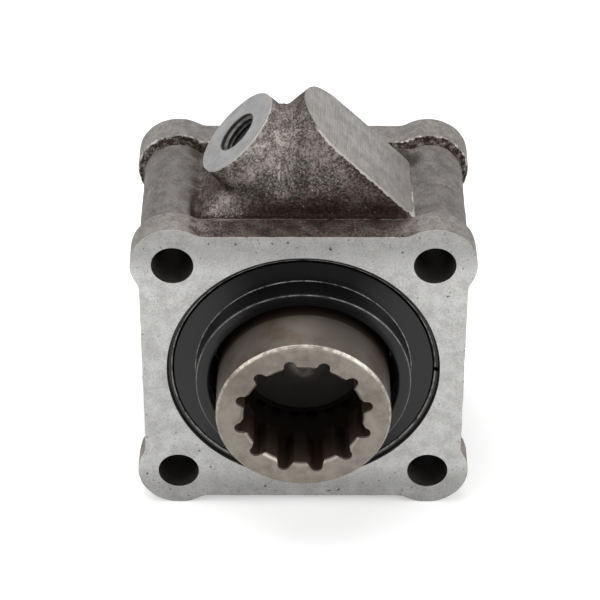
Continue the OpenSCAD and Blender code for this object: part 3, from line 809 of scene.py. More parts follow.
@dataclass(frozen=True)
class OiledSteel(Finish):
    """Hardened steel, ground outside and left with a brown oily film inside, with a painted highlight on its chamfers.

    Attributes:
        ground: Colour of the ground outside.
        front: Colour of the front face.
        film: Brown of the oily film in patches outside.
        inside: Colour inside, where the film is thick.
        chamfer_highlight: Colour of the painted highlight on the chamfers.
        inside_r: Radius below which the film is thick.
        outer_r: Radius of the ground outside.
        front_y: Depth of the front face.
        chamfer: Width of the outer chamfer.
        dry: First and last depth at which the outside is free of thick film.
        roughness: How much the ground metal scatters a reflection.
    """

    ground: str = "#6a645d"
    front: str = "#938c82"
    film: str = "#5d5146"
    inside: str = "#271e19"
    chamfer_highlight: str = "#b5aea4"
    inside_r: float = 22.9
    outer_r: float = 26.9
    front_y: float = -23.7
    chamfer: float = 1.0
    dry: tuple[float, float] = (-99.0, -7.5)
    roughness: float = 0.38

    def thick_film(
        self, tree: bpy.types.NodeTree, within: bpy.types.Node, depth: bpy.types.NodeSocket
    ) -> bpy.types.Node:
        """Marks where the film is thick: inside, and outside past the dry length.

        Args:
            tree: The material's node tree.
            within: Mask of all that lies inside.
            depth: Socket with the depth in millimetres.

        Returns:
            The mask node.
        """
        behind = self.band(tree, depth, self.front_y + 0.2, self.front_y + 0.9)
        first, last = self.dry
        return self.union(
            tree,
            self.overlap(tree, within, behind),
            self.band(tree, depth, first + 0.5, first - 0.5),
            self.band(tree, depth, last - 0.5, last + 0.5),
        )

    def painted_chamfer_highlight(
        self, tree: bpy.types.NodeTree, place: bpy.types.Node, out: bpy.types.NodeSocket, depth: bpy.types.NodeSocket
    ) -> bpy.types.Node:
        """Marks the painted highlight on the outer chamfer, broken here and there by nicks.

        Args:
            tree: The material's node tree.
            place: The node with the coordinates in millimetres.
            out: Socket with the distance from the shaft axis.
            depth: Socket with the depth in millimetres.

        Returns:
            The mask node.
        """
        start = self.outer_r - 0.75 * self.chamfer
        end = self.front_y + self.chamfer
        nicks = {"Vector": place, "Scale": 0.5, "Detail": 5.0, "Roughness": 0.7}
        nicks = add(tree, "ShaderNodeTexNoise", nicks)
        kept = {"Value": nicks, "From Min": 0.38, "From Max": 0.62, "To Min": 0.25, "To Max": 1.0}
        return self.overlap(
            tree,
            self.band(tree, out, start - 0.1, start + 0.1),
            self.band(tree, depth, end + 0.15, end),
            add(tree, "ShaderNodeMapRange", kept),
        )

    def surface(self, tree: bpy.types.NodeTree) -> bpy.types.Node:
        """Builds the steel with its film.

        Args:
            tree: The material's empty node tree.

        Returns:
            The shader node.
        """
        place = self.millimetres(tree)
        drawn = self.millimetres(tree, (1.0, 9.0, 1.0))
        out = self.radius(tree, place)
        depth = add(tree, "ShaderNodeSeparateXYZ", {0: place}).outputs["Y"]
        patches, fine = (
            add(tree, "ShaderNodeTexNoise", {"Vector": at, "Scale": scale, "Detail": detail, "Roughness": 0.6})
            for at, scale, detail in ((place, 0.07, 5.0), (drawn, 0.25, 3.0))
        )
        filmy = self.band(tree, patches, 0.46, 0.68)
        dulled = self.overlap(tree, self.band(tree, fine, 0.35, 0.7), 0.55)
        tinted = self.overlap(tree, filmy, 0.35)
        at_front = self.band(tree, depth, self.front_y + 0.25, self.front_y + 0.1)
        within = self.band(tree, out, self.inside_r + 0.3, self.inside_r - 0.3)
        hollow = self.thick_film(tree, within, depth)
        thinned = self.overlap(tree, self.band(tree, depth, self.front_y + 13, self.front_y + 1), 0.35)
        # Painted highlight on the lead-in chamfers of the teeth, at half strength.
        lead_in = self.overlap(
            tree,
            self.band(tree, depth, self.front_y + 0.15, self.front_y + 0.3),
            self.band(tree, depth, self.front_y + 0.9, self.front_y + 0.6),
            within,
            0.5,
        )
        coats = (
            (filmy, self.film),
            (at_front, self.coated(tree, self.front, (dulled, self.ground), (tinted, self.film))),
            (hollow, self.coated(tree, self.inside, (thinned, self.film))),
            (lead_in, self.chamfer_highlight),
            (self.painted_chamfer_highlight(tree, place, out, depth), self.chamfer_highlight),
        )
        return add(
            tree,
            "ShaderNodeBsdfPrincipled",
            {
                "Base Color": self.coated(tree, self.ground, *coats),
                "Metallic": add(tree, "ShaderNodeMapRange", {"Value": hollow, "To Min": 0.85, "To Max": 0.3}),
                "Roughness": self.roughness,
                "Normal": add(tree, "ShaderNodeBump", {"Height": fine, "Strength": 1.0, "Distance": 0.015 * MM}),
            },
        )


# Modelling tools


def to_mesh_object(bm: bmesh.types.BMesh, name: str) -> bpy.types.Object:
    """Turns a bmesh into an object of the scene and frees it.

    Args:
        bm: The mesh.
        name: Name of the object and its mesh.

    Returns:
        The object.
    """
    mesh = bpy.data.meshes.new(name)
    bm.to_mesh(mesh)
    bm.free()
    made = bpy.data.objects.new(name, mesh)
    bpy.context.scene.collection.objects.link(made)
    return made


def take_back(held: bpy.types.Object) -> bmesh.types.BMesh:
    """Reads an object with its modifiers done back into a bmesh and removes the object.

    Args:
        held: The object.

    Returns:
        The finished mesh.
    """
    bm = bmesh.new()
    bm.from_object(held, bpy.context.evaluated_depsgraph_get())
    bpy.data.objects.remove(held)
    return bm


def fused(bm: bmesh.types.BMesh, voxel: float) -> bmesh.types.BMesh:
    """Fuses closed shells that overlap into one even skin.

    Args:
        bm: The shells.
        voxel: Size of the skin's faces.

    Returns:
        The skin.
    """
    held = to_mesh_object(bm, "blank")
    step = held.modifiers.new("fuse", "REMESH")
    step.mode = "VOXEL"
    step.voxel_size = voxel
    return take_back(held)


def carved(bm: bmesh.types.BMesh, tools: Iterable[bmesh.types.BMesh]) -> bmesh.types.BMesh:
    """Cuts closed tool shapes out of a solid, one after the other.

    Args:
        bm: The solid.
        tools: The shapes that are cut away.

    Returns:
        What is left of the solid.
    """
    held = to_mesh_object(bm, "work")
    cutters = [to_mesh_object(tool, "tool") for tool in tools]
    for cutter in cutters:
        step = held.modifiers.new("cut", "BOOLEAN")
        step.operation = "DIFFERENCE"
        step.solver = "MANIFOLD"
        step.object = cutter
    left = take_back(held)
    for cutter in cutters:
        bpy.data.objects.remove(cutter)
    return left


def merged_copy(node: bpy.types.Object) -> bmesh.types.BMesh:
    """Copies a CAD node's mesh in millimetres, with its loose triangles merged.

    Args:
        node: The CAD node, which stays as it is.

    Returns:
        The copy, with all faces in the first finish.
    """
    bm = bmesh.new()
    bm.from_mesh(node.data)
    bmesh.ops.scale(bm, vec=(1 / MM, 1 / MM, 1 / MM), verts=bm.verts)
    bmesh.ops.remove_doubles(bm, verts=bm.verts, dist=0.002)
    for face in bm.faces:
        face.material_index = 0
    return bm


def turn_to(axis: Vector) -> Matrix:
    """Gives the turn that brings +Z onto a direction.

    Args:
        axis: The direction.

    Returns:
        The turn.
    """
    return axis.to_track_quat("Z", "Y").to_matrix().to_4x4()


def add_bar(bm: bmesh.types.BMesh, radius: float, start: Vector, axis: Vector, length: float, sides: int = 96) -> None:
    """Adds a closed round bar.

    Args:
        bm: The mesh that gets the bar.
        radius: Radius of the bar.
        start: Middle of its first end.
        axis: Direction from the first end to the other.
        length: Length of the bar.
        sides: Number of sides.
    """
    place = Matrix.Translation(start + axis.normalized() * (length / 2)) @ turn_to(axis)
    bmesh.ops.create_cone(
        bm, cap_ends=True, segments=sides, radius1=radius, radius2=radius, depth=length, matrix=place
    )


def add_block(bm: bmesh.types.BMesh, low: tuple[float, float, float], high: tuple[float, float, float]) -> None:
    """Adds a closed box.

    Args:
        bm: The mesh that gets the box.
        low: Its lowest corner.
        high: Its highest corner.
    """
    size = [b - a for a, b in zip(low, high)]
    middle = [(a + b) / 2 for a, b in zip(low, high)]
    place = Matrix.Translation(middle) @ Matrix.Diagonal((*size, 1))
    bmesh.ops.create_cube(bm, size=1.0, matrix=place)


def turned(profile: list[tuple[float, float]], steps: int = 192) -> bmesh.types.BMesh:
    """Turns a closed profile about the shaft axis.

    Args:
        profile: Radius and depth of each corner; it may touch the axis.
        steps: Number of steps round the axis.

    Returns:
        The turned solid.
    """
    bm = bmesh.new()
    corners = [bm.verts.new((r, y, 0)) for r, y in profile]
    edges = [bm.edges.new((a, b)) for a, b in zip(corners, corners[1:] + corners[:1])]
    bmesh.ops.spin(
        bm, geom=corners + edges, cent=(0, 0, 0), axis=(0, 1, 0), angle=2 * math.pi, steps=steps, use_merge=True
    )
    bmesh.ops.remove_doubles(bm, verts=bm.verts, dist=1e-4)
    bmesh.ops.dissolve_degenerate(bm, dist=1e-5, edges=bm.edges)
    bmesh.ops.recalc_face_normals(bm, faces=bm.faces)
    return bm


def creased(bm: bmesh.types.BMesh, degrees: float) -> None:
    """Shades a mesh smooth but for its edges that are sharper than an angle.

    Args:
        bm: The mesh.
        degrees: Angle between two faces from which their edge stays sharp.
    """
    for face in bm.faces:
        face.smooth = True
    limit = math.radians(degrees)
    for edge in bm.edges:
        edge.smooth = edge.is_manifold and edge.calc_face_angle() < limit


def finished(bm: bmesh.types.BMesh, name: str, body: Body, finishes: Iterable[Finish]) -> bpy.types.Object:
    """Makes a piece of the part from a mesh in millimetres.

    Args:
        bm: The mesh, whose faces already carry the numbers of their finishes.
        name: Name of the piece.
        body: Body that the piece moves with.
        finishes: Finishes in the order of their numbers.

    Returns:
        The piece.
    """
    bmesh.ops.scale(bm, vec=(MM, MM, MM), verts=bm.verts)
    piece = to_mesh_object(bm, name)
    for finish in finishes:
        piece.data.materials.append(finish.material())
    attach(piece, body.value)
    LOG.info("%s: %d faces", name, len(piece.data.polygons))
    return piece


# Pieces

PHOSPHATED_WIRE = PlainFinish("phosphated_spring_wire", "#29282a", "#1c1b1c", 0.4, 0.5, patch_mm=3.0)


@dataclass
class Casting:
    """The iron housing: a casting with soft edges, cut by the machine where other parts sit.

    Attributes:
        bolt_xz: Distance of a bolt hole from the middle in X and in Z.
        bolt_r: Radius of a bolt hole.
        lobe_r: Radius of a flange's corner lobes.
        half: Distance of a flange's straight sides from the middle.
        flange_t: Thickness of a flange.
        length: Distance between the two outer flange faces.
        barrel_r: Radius of the barrel.
        pillar_r: Radius of the corner pillars.
        boss_x: Left and right side of the boss.
        boss_top: Height of the flat top beside the arms.
        fork: Point where the axes of both arms cross.
        arm_r: Radius of both arms.
        port_arm: Length of the arm with the air port.
        blank_arm: Length of the arm with the ground face.
        port_r: Radius of the air port's thread at its roots.
        port_core_r: Radius of the air port's thread at its crests.
        port_depth: Depth of the air port.
        port_chamfer: Width of the chamfer at the port's mouth.
        bores: Radius and depth of the corners of the stepped bore, from the front.
        stock: Metal that the casting has on each machined face before it is cut.
        root: Length by which the arms run on past their crossing, into the barrel.
        waves: Height and count per millimetre of the skin's slight unevenness.
        creases: Start, end, width and height of the lines that the mould has left, below zero where they are grooves.
        voxel: Size of the cast skin's faces.
        reach: Half the width of a tool that cuts a whole side.
        deep: Depth of such a tool.
    """

    bolt_xz: float = 40.0
    bolt_r: float = 6.5
    lobe_r: float = 13.0
    half: float = 50.4
    flange_t: float = FLANGE_T
    length: float = HOUSING_LENGTH
    barrel_r: float = 48.5
    pillar_r: float = 10.7
    boss_x: tuple[float, float] = (-31.0, 33.0)
    boss_top: float = 49.4
    fork: Vector = FORK
    arm_r: float = 15.0
    port_arm: float = PORT_ARM
    blank_arm: float = BLANK_ARM
    port_r: float = 6.95
    port_core_r: float = 6.25
    port_depth: float = 14.0
    port_chamfer: float = 0.9
    bores: tuple[tuple[float, float], ...] = (
        (42.8, -0.01),
        (42.5, 0.3),
        (42.5, 22.2),
        (44.2, 22.2),
        (44.2, 25.2),
        (39.0, 25.2),
        (39.0, 31.0),
        (33.0, 31.0),
        (33.0, 34.0),
        (36.0, 34.0),
        (36.0, 56.5),
        (40.0, 56.5),
        (40.0, 64.2),
        (40.3, 64.51),
    )
    stock: float = 3.0
    root: float = 22.0
    waves: tuple[tuple[float, float], ...] = ((0.12, 0.16), (0.05, 0.5))
    creases: tuple[tuple[Vector, Vector, float, float], ...] = (
        (Vector((-33.8, 10, 47.0)), Vector((-33.2, 24, 47.5)), 2.8, -2.2),
        (Vector((-30.6, 12, 48.5)), Vector((-31.4, 24, 49.5)), 1.2, 0.7),
        (Vector((-6, 12, 77.5)), Vector((-6, 44, 77.5)), 1.6, 0.9),
        (Vector((-8.0, 13, 78)), Vector((-6.8, 13, 62)), 1.5, 0.9),
        (Vector((-5.0, 13, 76)), Vector((-5.2, 13, 59)), 1.4, -0.9),
        (Vector((-29, 12, 50)), Vector((-20, 12, 58)), 1.6, -0.5),
        (Vector((34.5, 29.4, 50.2)), Vector((41, 29.4, 50.9)), 1.2, 0.7),
        (Vector((-46, 29.8, 50.2)), Vector((-41, 29.8, 50.9)), 1.3, 0.7),
    )
    voxel: float = 0.8
    reach: float = 90.0
    deep: float = 20.0

    def corners(self) -> list[tuple[float, float]]:
        """Returns X and Z of the four bolt holes."""
        return [(sx * self.bolt_xz, sz * self.bolt_xz) for sx in (-1, 1) for sz in (-1, 1)]

    def blank(self) -> bmesh.types.BMesh:
        """Makes the casting before any machining.

        Returns:
            The cast skin.
        """
        bm = bmesh.new()
        along = Vector((0, 1, 0))
        for y0, y1 in ((-self.stock, self.flange_t), (self.length - self.flange_t, self.length + self.stock)):
            add_block(bm, (-self.half, y0, -self.bolt_xz), (self.half, y1, self.bolt_xz))
            add_block(bm, (-self.bolt_xz, y0, -self.half), (self.bolt_xz, y1, self.half))
            for x, z in self.corners():
                add_bar(bm, self.lobe_r, Vector((x, y0, z)), along, y1 - y0)
        add_bar(bm, self.barrel_r, Vector((0, 1, 0)), along, self.length - 2, 160)
        for x, z in self.corners():
            add_bar(bm, self.pillar_r, Vector((x, 1, z)), along, self.length - 2)
        left, right = self.boss_x
        add_block(bm, (left, 1, self.boss_top - 19), (right, self.length - 2, self.boss_top))
        for axis, length in ((Axis.PORT_ARM, self.port_arm), (Axis.BLANK_ARM, self.blank_arm)):
            arm = Vector(axis.value)
            add_bar(bm, self.arm_r, self.fork - arm * self.root, arm, length + self.root + self.stock)
        self.add_blank_flank(bm)
        return bm

    def add_blank_flank(self, bm: bmesh.types.BMesh) -> None:
        """Adds the flat-sided part of the blank arm, from its axis down to the barrel.

        Args:
            bm: The mesh that gets it.
        """
        over = self.blank_arm + self.stock
        tip = self.fork + Vector(Axis.BLANK_ARM.value) * over
        right = self.boss_x[1]
        outline = [
            (self.fork.x, self.fork.z),
            (tip.x, tip.z),
            (right, tip.z - (right - tip.x)),
            (right, self.boss_top - 19),
            (self.fork.x, self.boss_top - 19),
        ]
        front = self.fork.y - self.arm_r
        face = bm.faces.new([bm.verts.new((x, front, z)) for x, z in outline])
        grown = bmesh.ops.extrude_face_region(bm, geom=[face])
        moved = [v for v in grown["geom"] if isinstance(v, bmesh.types.BMVert)]
        bmesh.ops.translate(bm, vec=(0, 2 * self.arm_r, 0), verts=moved)
        island = {f for v in moved + list(face.verts) for f in v.link_faces} | {face}
        bmesh.ops.recalc_face_normals(bm, faces=list(island))

    def weathered(self, bm: bmesh.types.BMesh) -> None:
        """Softens the skin's edges and gives it the slight unevenness of a sand mould.

        Args:
            bm: The cast skin.
        """
        # The front flange and the boss have the softest edges.
        soft = [v for v in bm.verts if v.co.y < 16 or (abs(v.co.x) < 36 and v.co.z > 42 and v.co.y < 50)]
        for verts, rounds in ((bm.verts, 2), (soft, 4)):
            for _ in range(rounds):
                bmesh.ops.smooth_vert(
                    bm, verts=verts, factor=0.5, use_axis_x=True, use_axis_y=True, use_axis_z=True
                )
        bm.normal_update()
        for vert in bm.verts:
            swell = sum(height * noise.noise(vert.co * count) for height, count in self.waves)
            on_boss = abs(vert.co.x) < 34 and vert.co.z > 50 and self.flange_t < vert.co.y < 53
            swell *= 2.0 if on_boss else 1.0
            for start, end, width, height in self.creases:
                near, share = intersect_point_line(vert.co, start, end)
                away = (vert.co - start.lerp(end, min(max(share, 0.0), 1.0))).length
                if away < width:
                    swell += height * (1 - (away / width) ** 2) ** 2
            vert.co += vert.normal * swell

    def end_mills(self) -> list[bmesh.types.BMesh]:
        """Returns the two blocks that face the flanges."""
        front, rear = bmesh.new(), bmesh.new()
        add_block(front, (-self.reach, -self.deep, -self.reach), (self.reach, 0, self.reach))
        add_block(rear, (-self.reach, self.length, -self.reach), (self.reach, self.length + self.deep, self.reach))
        return [front, rear]

    def boring_tool(self) -> bmesh.types.BMesh:
        """Returns the turned shape of the stepped bore."""
        before, behind = -1.0, self.length + 1
        first_r, last_r = self.bores[0][0], self.bores[-1][0]
        return turned([(0.0, before), (first_r, before), *self.bores, (last_r, behind), (0.0, behind)], 256)

    def bolt_drills(self) -> bmesh.types.BMesh:
        """Returns the drills of all four bolt holes."""
        drills = bmesh.new()
        for x, z in self.corners():
            add_bar(drills, self.bolt_r, Vector((x, -5, z)), Vector((0, 1, 0)), self.length + 10, 64)
        return drills

    def spot_mill(self) -> bmesh.types.BMesh:
        """Returns the mill that faces the port arm."""
        arm = Vector(Axis.PORT_ARM.value)
        mill = bmesh.new()
        add_bar(mill, self.arm_r + 3, self.fork + arm * self.port_arm, arm, self.deep, 64)
        return mill

    def grinder(self) -> bmesh.types.BMesh:
        """Returns the block that grinds the blank arm flat."""
        block = bmesh.new()
        add_block(block, (-22, -self.arm_r - 1, 0), (33, self.arm_r + 3, self.deep))
        arm_turn = Matrix.Rotation(math.radians(45), 4, "Y")
        middle = self.fork + Vector(Axis.BLANK_ARM.value) * self.blank_arm
        bmesh.ops.transform(block, matrix=Matrix.Translation(middle) @ arm_turn, verts=block.verts)
        return block

    def countersink(self) -> bmesh.types.BMesh:
        """Returns the cone that chamfers the port's mouth."""
        arm = Vector(Axis.PORT_ARM.value)
        mouth = self.fork + arm * (self.port_arm - self.port_chamfer)
        height = 3 * self.port_chamfer
        cone = bmesh.new()
        bmesh.ops.create_cone(
            cone,
            cap_ends=True,
            segments=96,
            radius1=self.port_core_r,
            radius2=self.port_core_r + height,
            depth=height,
            matrix=Matrix.Translation(mouth + arm * (height / 2)) @ turn_to(arm),
        )
        return cone

    def port_drill(self) -> bmesh.types.BMesh:
        """Returns the drill of the air port."""
        arm = Vector(Axis.PORT_ARM.value)
        drill = bmesh.new()
        add_bar(drill, self.port_r, self.fork + arm * (self.port_arm - self.port_depth), arm, self.port_depth + 5, 96)
        return drill

    def machine_tools(self) -> list[bmesh.types.BMesh]:
        """Returns all shapes that the machine cuts away, in the order of the cuts."""
        return [
            *self.end_mills(),
            self.boring_tool(),
            self.bolt_drills(),
            self.spot_mill(),
            self.grinder(),
            self.countersink(),
            self.port_drill(),
        ]

    def machined(self, face: bmesh.types.BMFace) -> int:
        """Says which finish a face has.

        Args:
            face: A face of the machined casting.

        Returns:
            0 for the cast skin, 1 for an end face, 2 for the port's face, 3 for the ground face, 4 inside a hole.
        """
        middle = face.calc_center_median()
        out = math.hypot(middle.x, middle.z)
        if min(middle.y, self.length - middle.y) < 0.01 and abs(face.normal.y) > 0.99:
            return 1
        for number, axis, length in ((2, Axis.PORT_ARM, self.port_arm), (3, Axis.BLANK_ARM, self.blank_arm)):
            arm = Vector(axis.value)
            if abs((middle - self.fork).dot(arm) - length) < 0.01 and face.normal.dot(arm) > 0.99:
                return number
        if out < 46:
            return 4
        if any(math.hypot(middle.x - x, middle.z - z) < self.bolt_r + 0.1 for x, z in self.corners()):
            return 4
        arm = Vector(Axis.PORT_ARM.value)
        offset = middle - self.fork
        if offset.dot(arm) > 0 and (offset - arm * offset.dot(arm)).length < self.port_r + 0.3:
            return 4
        return 0

    def build(self) -> bpy.types.Object:
        """Builds the housing and gives it its finishes.

        Returns:
            The piece, which stands for the CAD node housing.
        """
        skin = fused(self.blank(), self.voxel)
        self.weathered(skin)
        bm = carved(skin, self.machine_tools())
        bm.normal_update()
        for face in bm.faces:
            face.material_index = self.machined(face)
        creased(bm, 32)
        for edge in bm.edges:
            if len({f.material_index for f in edge.link_faces}) > 1:
                edge.smooth = False
        finishes = (
            SandCastIron("sand_cast_iron"),
            # Faced flanges: nearly white and matt, with pores, and greyer towards their edges
            MachinedIron("machined_iron", "#d9d9d7", "#b3b2b0", greyer_from=(36.0, 47.0)),
            # Spot face: an even, clean grey
            MachinedIron("spot_faced_iron", "#a6a5a5", "#8b8a8a", "#6a6866", 0.42, line_mm=0.3, pores=0.0),
            # Ground face: fine straight lines along the shaft, darker at its lower end
            MachinedIron(
                "ground_iron",
                "#a5a29f",
                "#807c79",
                "#4c4845",
                lines=(1.0, 0.05, 1.0),
                line_mm=0.4,
                pores=0.3,
                greyer_from=(70.0, 52.0),
            ),
            # Bores: painted dark to stand for the shade inside them, with lines round them
            MachinedIron("bored_iron", "#4a4643", "#383533", "#1e1b19", 0.45, (0.2, 2.0, 0.2), 0.5, 0.6),
        )
        piece = finished(bm, "cast_housing", Body.CASING, finishes)
        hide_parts("housing")
        return piece


@dataclass
class PortThread:
    """The air port's inner thread, a ridge that winds down the hole.

    Attributes:
        mouth: Middle of the port's mouth.
        crest_r: Radius at the crests.
        root_r: Radius just inside the iron at the roots.
        pitch: Distance between two turns.
        depth: Depth of the last turn.
        start: Depth of the first turn below the mouth.
        steps: Steps in a turn.
    """

    mouth: Vector = FORK + Vector(Axis.PORT_ARM.value) * PORT_ARM
    crest_r: float = 6.1
    root_r: float = 7.05
    pitch: float = 1.5
    depth: float = 12.0
    start: float = 0.2
    steps: int = 40

    def build(self) -> bpy.types.Object:
        """Builds the ridge.

        Returns:
            The piece.
        """
        bm = bmesh.new()
        corners = [
            bm.verts.new((self.root_r, 0, -self.start)),
            bm.verts.new((self.crest_r, 0, -self.start - 0.42 * self.pitch)),
            bm.verts.new((self.crest_r, 0, -self.start - 0.58 * self.pitch)),
            bm.verts.new((self.root_r, 0, -self.start - self.pitch)),
        ]
        section = bm.faces.new(corners)
        turns = int((self.depth - self.start) / self.pitch)
        bmesh.ops.spin(
            bm,
            geom=[section, *section.edges, *corners],
            cent=(0, 0, 0),
            axis=(0, 0, 1),
            dvec=(0, 0, -self.pitch / self.steps),
            angle=2 * math.pi * turns,
            steps=self.steps * turns,
        )
        open_edges = [e for e in bm.edges if e.is_boundary]
        bmesh.ops.holes_fill(bm, edges=open_edges, sides=8)
        bmesh.ops.recalc_face_normals(bm, faces=bm.faces)
        creased(bm, 25)
        place = Matrix.Translation(self.mouth) @ turn_to(Vector(Axis.PORT_ARM.value))
        bmesh.ops.transform(bm, matrix=place, verts=bm.verts)
        # Cut thread: dull grey with dark oil between the crests
        finish = PlainFinish("tapped_iron", "#5f5e5d", "#3a3938", 0.4, 0.45, patch_mm=2.0)
        return finished(bm, "air_port_thread", Body.CASING, (finish,))


@dataclass
class BrokenEdges:
    """A part turned or cut on a machine, with its sharp edges broken by a small bevel.

    Attributes:
        node: Name of the CAD node whose shape it takes.
        piece: Name of the piece.
        body: Body that it moves with.
        slot: Name of a material slot; not used.
        finish: Finish of its whole surface.
        bevel: Width of the broken edges.
        segments: Faces across a broken edge.
        sharp: Angle in degrees from which an edge counts as sharp.
        ring_corners: Corners from which a face counts as a wide ring.
        split_from: Depth past which wide rings are split into simple faces before their edges are broken.
    """

    node: str
    piece: str
    body: Body
    slot: str
    finish: Finish
    bevel: float = 0.2
    segments: int = 2
    sharp: float = 28.0
    ring_corners: int = 40
    split_from: float = math.inf

    def build(self, nodes: dict[str, bpy.types.Object]) -> bpy.types.Object:
        """Builds the piece from a merged copy of its node.

        Args:
            nodes: The CAD nodes by name.

        Returns:
            The piece, which stands for the node.
        """
        bm = merged_copy(nodes[self.node])
        bmesh.ops.dissolve_degenerate(bm, dist=0.001, edges=bm.edges)
        bmesh.ops.dissolve_limit(bm, angle_limit=math.radians(0.4), verts=bm.verts, edges=bm.edges)
        rings = [f for f in bm.faces if len(f.verts) > self.ring_corners]
        rings = [f for f in rings if f.calc_center_median().y > self.split_from]
        bmesh.ops.connect_verts_concave(bm, faces=rings)
        limit = math.radians(self.sharp)
        sharp = [e for e in bm.edges if e.is_manifold and e.calc_face_angle() > limit]
        bmesh.ops.bevel(
            bm,
            geom=sharp,
            offset=self.bevel,
            offset_type="OFFSET",
            segments=self.segments,
            profile=0.5,
            affect="EDGES",
            clamp_overlap=True,
            material=-1,
        )
        creased(bm, self.sharp)
        made = finished(bm, self.piece, self.body, (self.finish,))
        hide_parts(self.node)
        return made


@dataclass
class PistonSpring:
    """The spring that pushes the piston back; the piston presses it together as it moves forward, but the piece keeps
    its rest shape.

    Attributes:
        node: Name of the CAD node whose shape it takes.
        piece: Name of the piece.
        joint: Joint that presses it together; not used.
        front: Depth of its front end, which stays in place; not used.
        length: Length at rest; not used.
        travel: Longest way of the joint; not used.
        finish: Finish of the wire, nearly black and matt as phosphated wire is in the dark.
    """

    node: str = "return_spring"
    piece: str = "coiled_return_spring"
    joint: str = "piston_shift"
    front: float = -4.4
    length: float = 22.85
    travel: float = 9.8
    finish: Finish = PHOSPHATED_WIRE

    def build(self, nodes: dict[str, bpy.types.Object]) -> bpy.types.Object:
        """Builds the spring from a merged copy of its node.

        Args:
            nodes: The CAD nodes by name.

        Returns:
            The piece, which stands for the node.
        """
        bm = merged_copy(nodes[self.node])
        creased(bm, 50)
        made = finished(bm, self.piece, Body.CASING, (self.finish,))
        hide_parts(self.node)
        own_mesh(made)
        return made


@dataclass
class InnerParts:
    """The parts inside that keep their CAD shape and get a finish.

    Attributes:
        finishes: The nodes of each finish.
    """

    finishes: tuple[tuple[Finish, tuple[str, ...]], ...] = (
        # Ground and hardened rings: nearly a mirror
        (
            PlainFinish("ground_bearing_steel", "#b4b2ae", "#a09d98", 1.0, 0.25, 8.0, 0.6, 0.004),
            (
                "shift_bearing_outer_ring",
                "shift_bearing_inner_ring",
                "main_bearing_outer_ring",
                "main_bearing_inner_ring",
            ),
        ),
        # Polished balls: small sharp reflections
        (
            PlainFinish("polished_ball_steel", "#cfcfce", "#c2c2c0", 1.0, 0.12, 8.0, 0.6, 0.001),
            ("shift_bearing_balls", "main_bearing_balls"),
        ),
        # Pressed brass: a warm, slightly dull yellow
        (PlainFinish("pressed_brass", "#a5854a", "#8a6b36", 1.0, 0.35), ("shift_bearing_cage", "main_bearing_cage")),
        # Phosphated spring steel: dark grey without shine
        (
            PlainFinish("phosphated_spring_steel", "#47474a", "#38373a", 0.6, 0.5),
            ("piston_circlip", "sleeve_circlip", "shaft_circlip", "bearing_circlip"),
        ),
        # Nitrile rubber: nearly black, with a soft broad sheen
        (
            PlainFinish("nitrile_rubber", "#1b1b1b", "#242423", 0.0, 0.55, 4.0, 0.4),
            ("cover_o_ring", "piston_o_ring", "narrow_bore_o_ring", "plug_o_ring", "seal_lip"),
        ),
        (PHOSPHATED_WIRE, ("seal_garter_spring",)),
        # Blued wire: black, with a painted highlight line along its outer side, where the round wire catches the light
        (
            BlackedMetal("blued_snap_wire", "#141416", "#b4b3b0", ((41.25, 1.3, 2.0),), 0.35, (0.5, 0.5)),
            ("snap_ring",),
        ),
        # Zinc plate: pale silver grey
        (PlainFinish("zinc_plated_washer", "#9b9a96", "#84827e", 0.9, 0.4), ("spring_seat",)),
        # Hard anodising: dark grey, evenly matt
        (PlainFinish("hard_anodised_aluminium", "#333437", "#26272a", 0.2, 0.4), ("piston",)),
        # Pressed steel: mid grey with a slight gloss
        (PlainFinish("pressed_seal_case", "#5b5c60", "#494a4d", 0.8, 0.45), ("seal_case",)),
        # Ground shaft: bright at its rear end, brown and oily in its socket
        (
            OiledSteel(
                "splined_shaft_steel",
                ground="#8d8982",
                front="#8d8982",
                film="#6a5c50",
                inside="#17110e",
                chamfer_highlight="#8d8982",
                inside_r=5.0,
                outer_r=99.0,
                front_y=-99.0,
                chamfer=0.0,
                dry=(9.0, 99.0),
            ),
            ("output_shaft",),
        ),
    )

    def dress(self, nodes: dict[str, bpy.types.Object]) -> None:
        """Gives each node its finish.

        Args:
            nodes: The CAD nodes by name.
        """
        for finish, names in self.finishes:
            for name in names:
                node = nodes[name]
                if not node.material_slots:
                    node.data.materials.append(None)
                for holder in node.material_slots:
                    holder.material = finish.material()
                LOG.info("%s: %s", name, finish.name)


# Studio


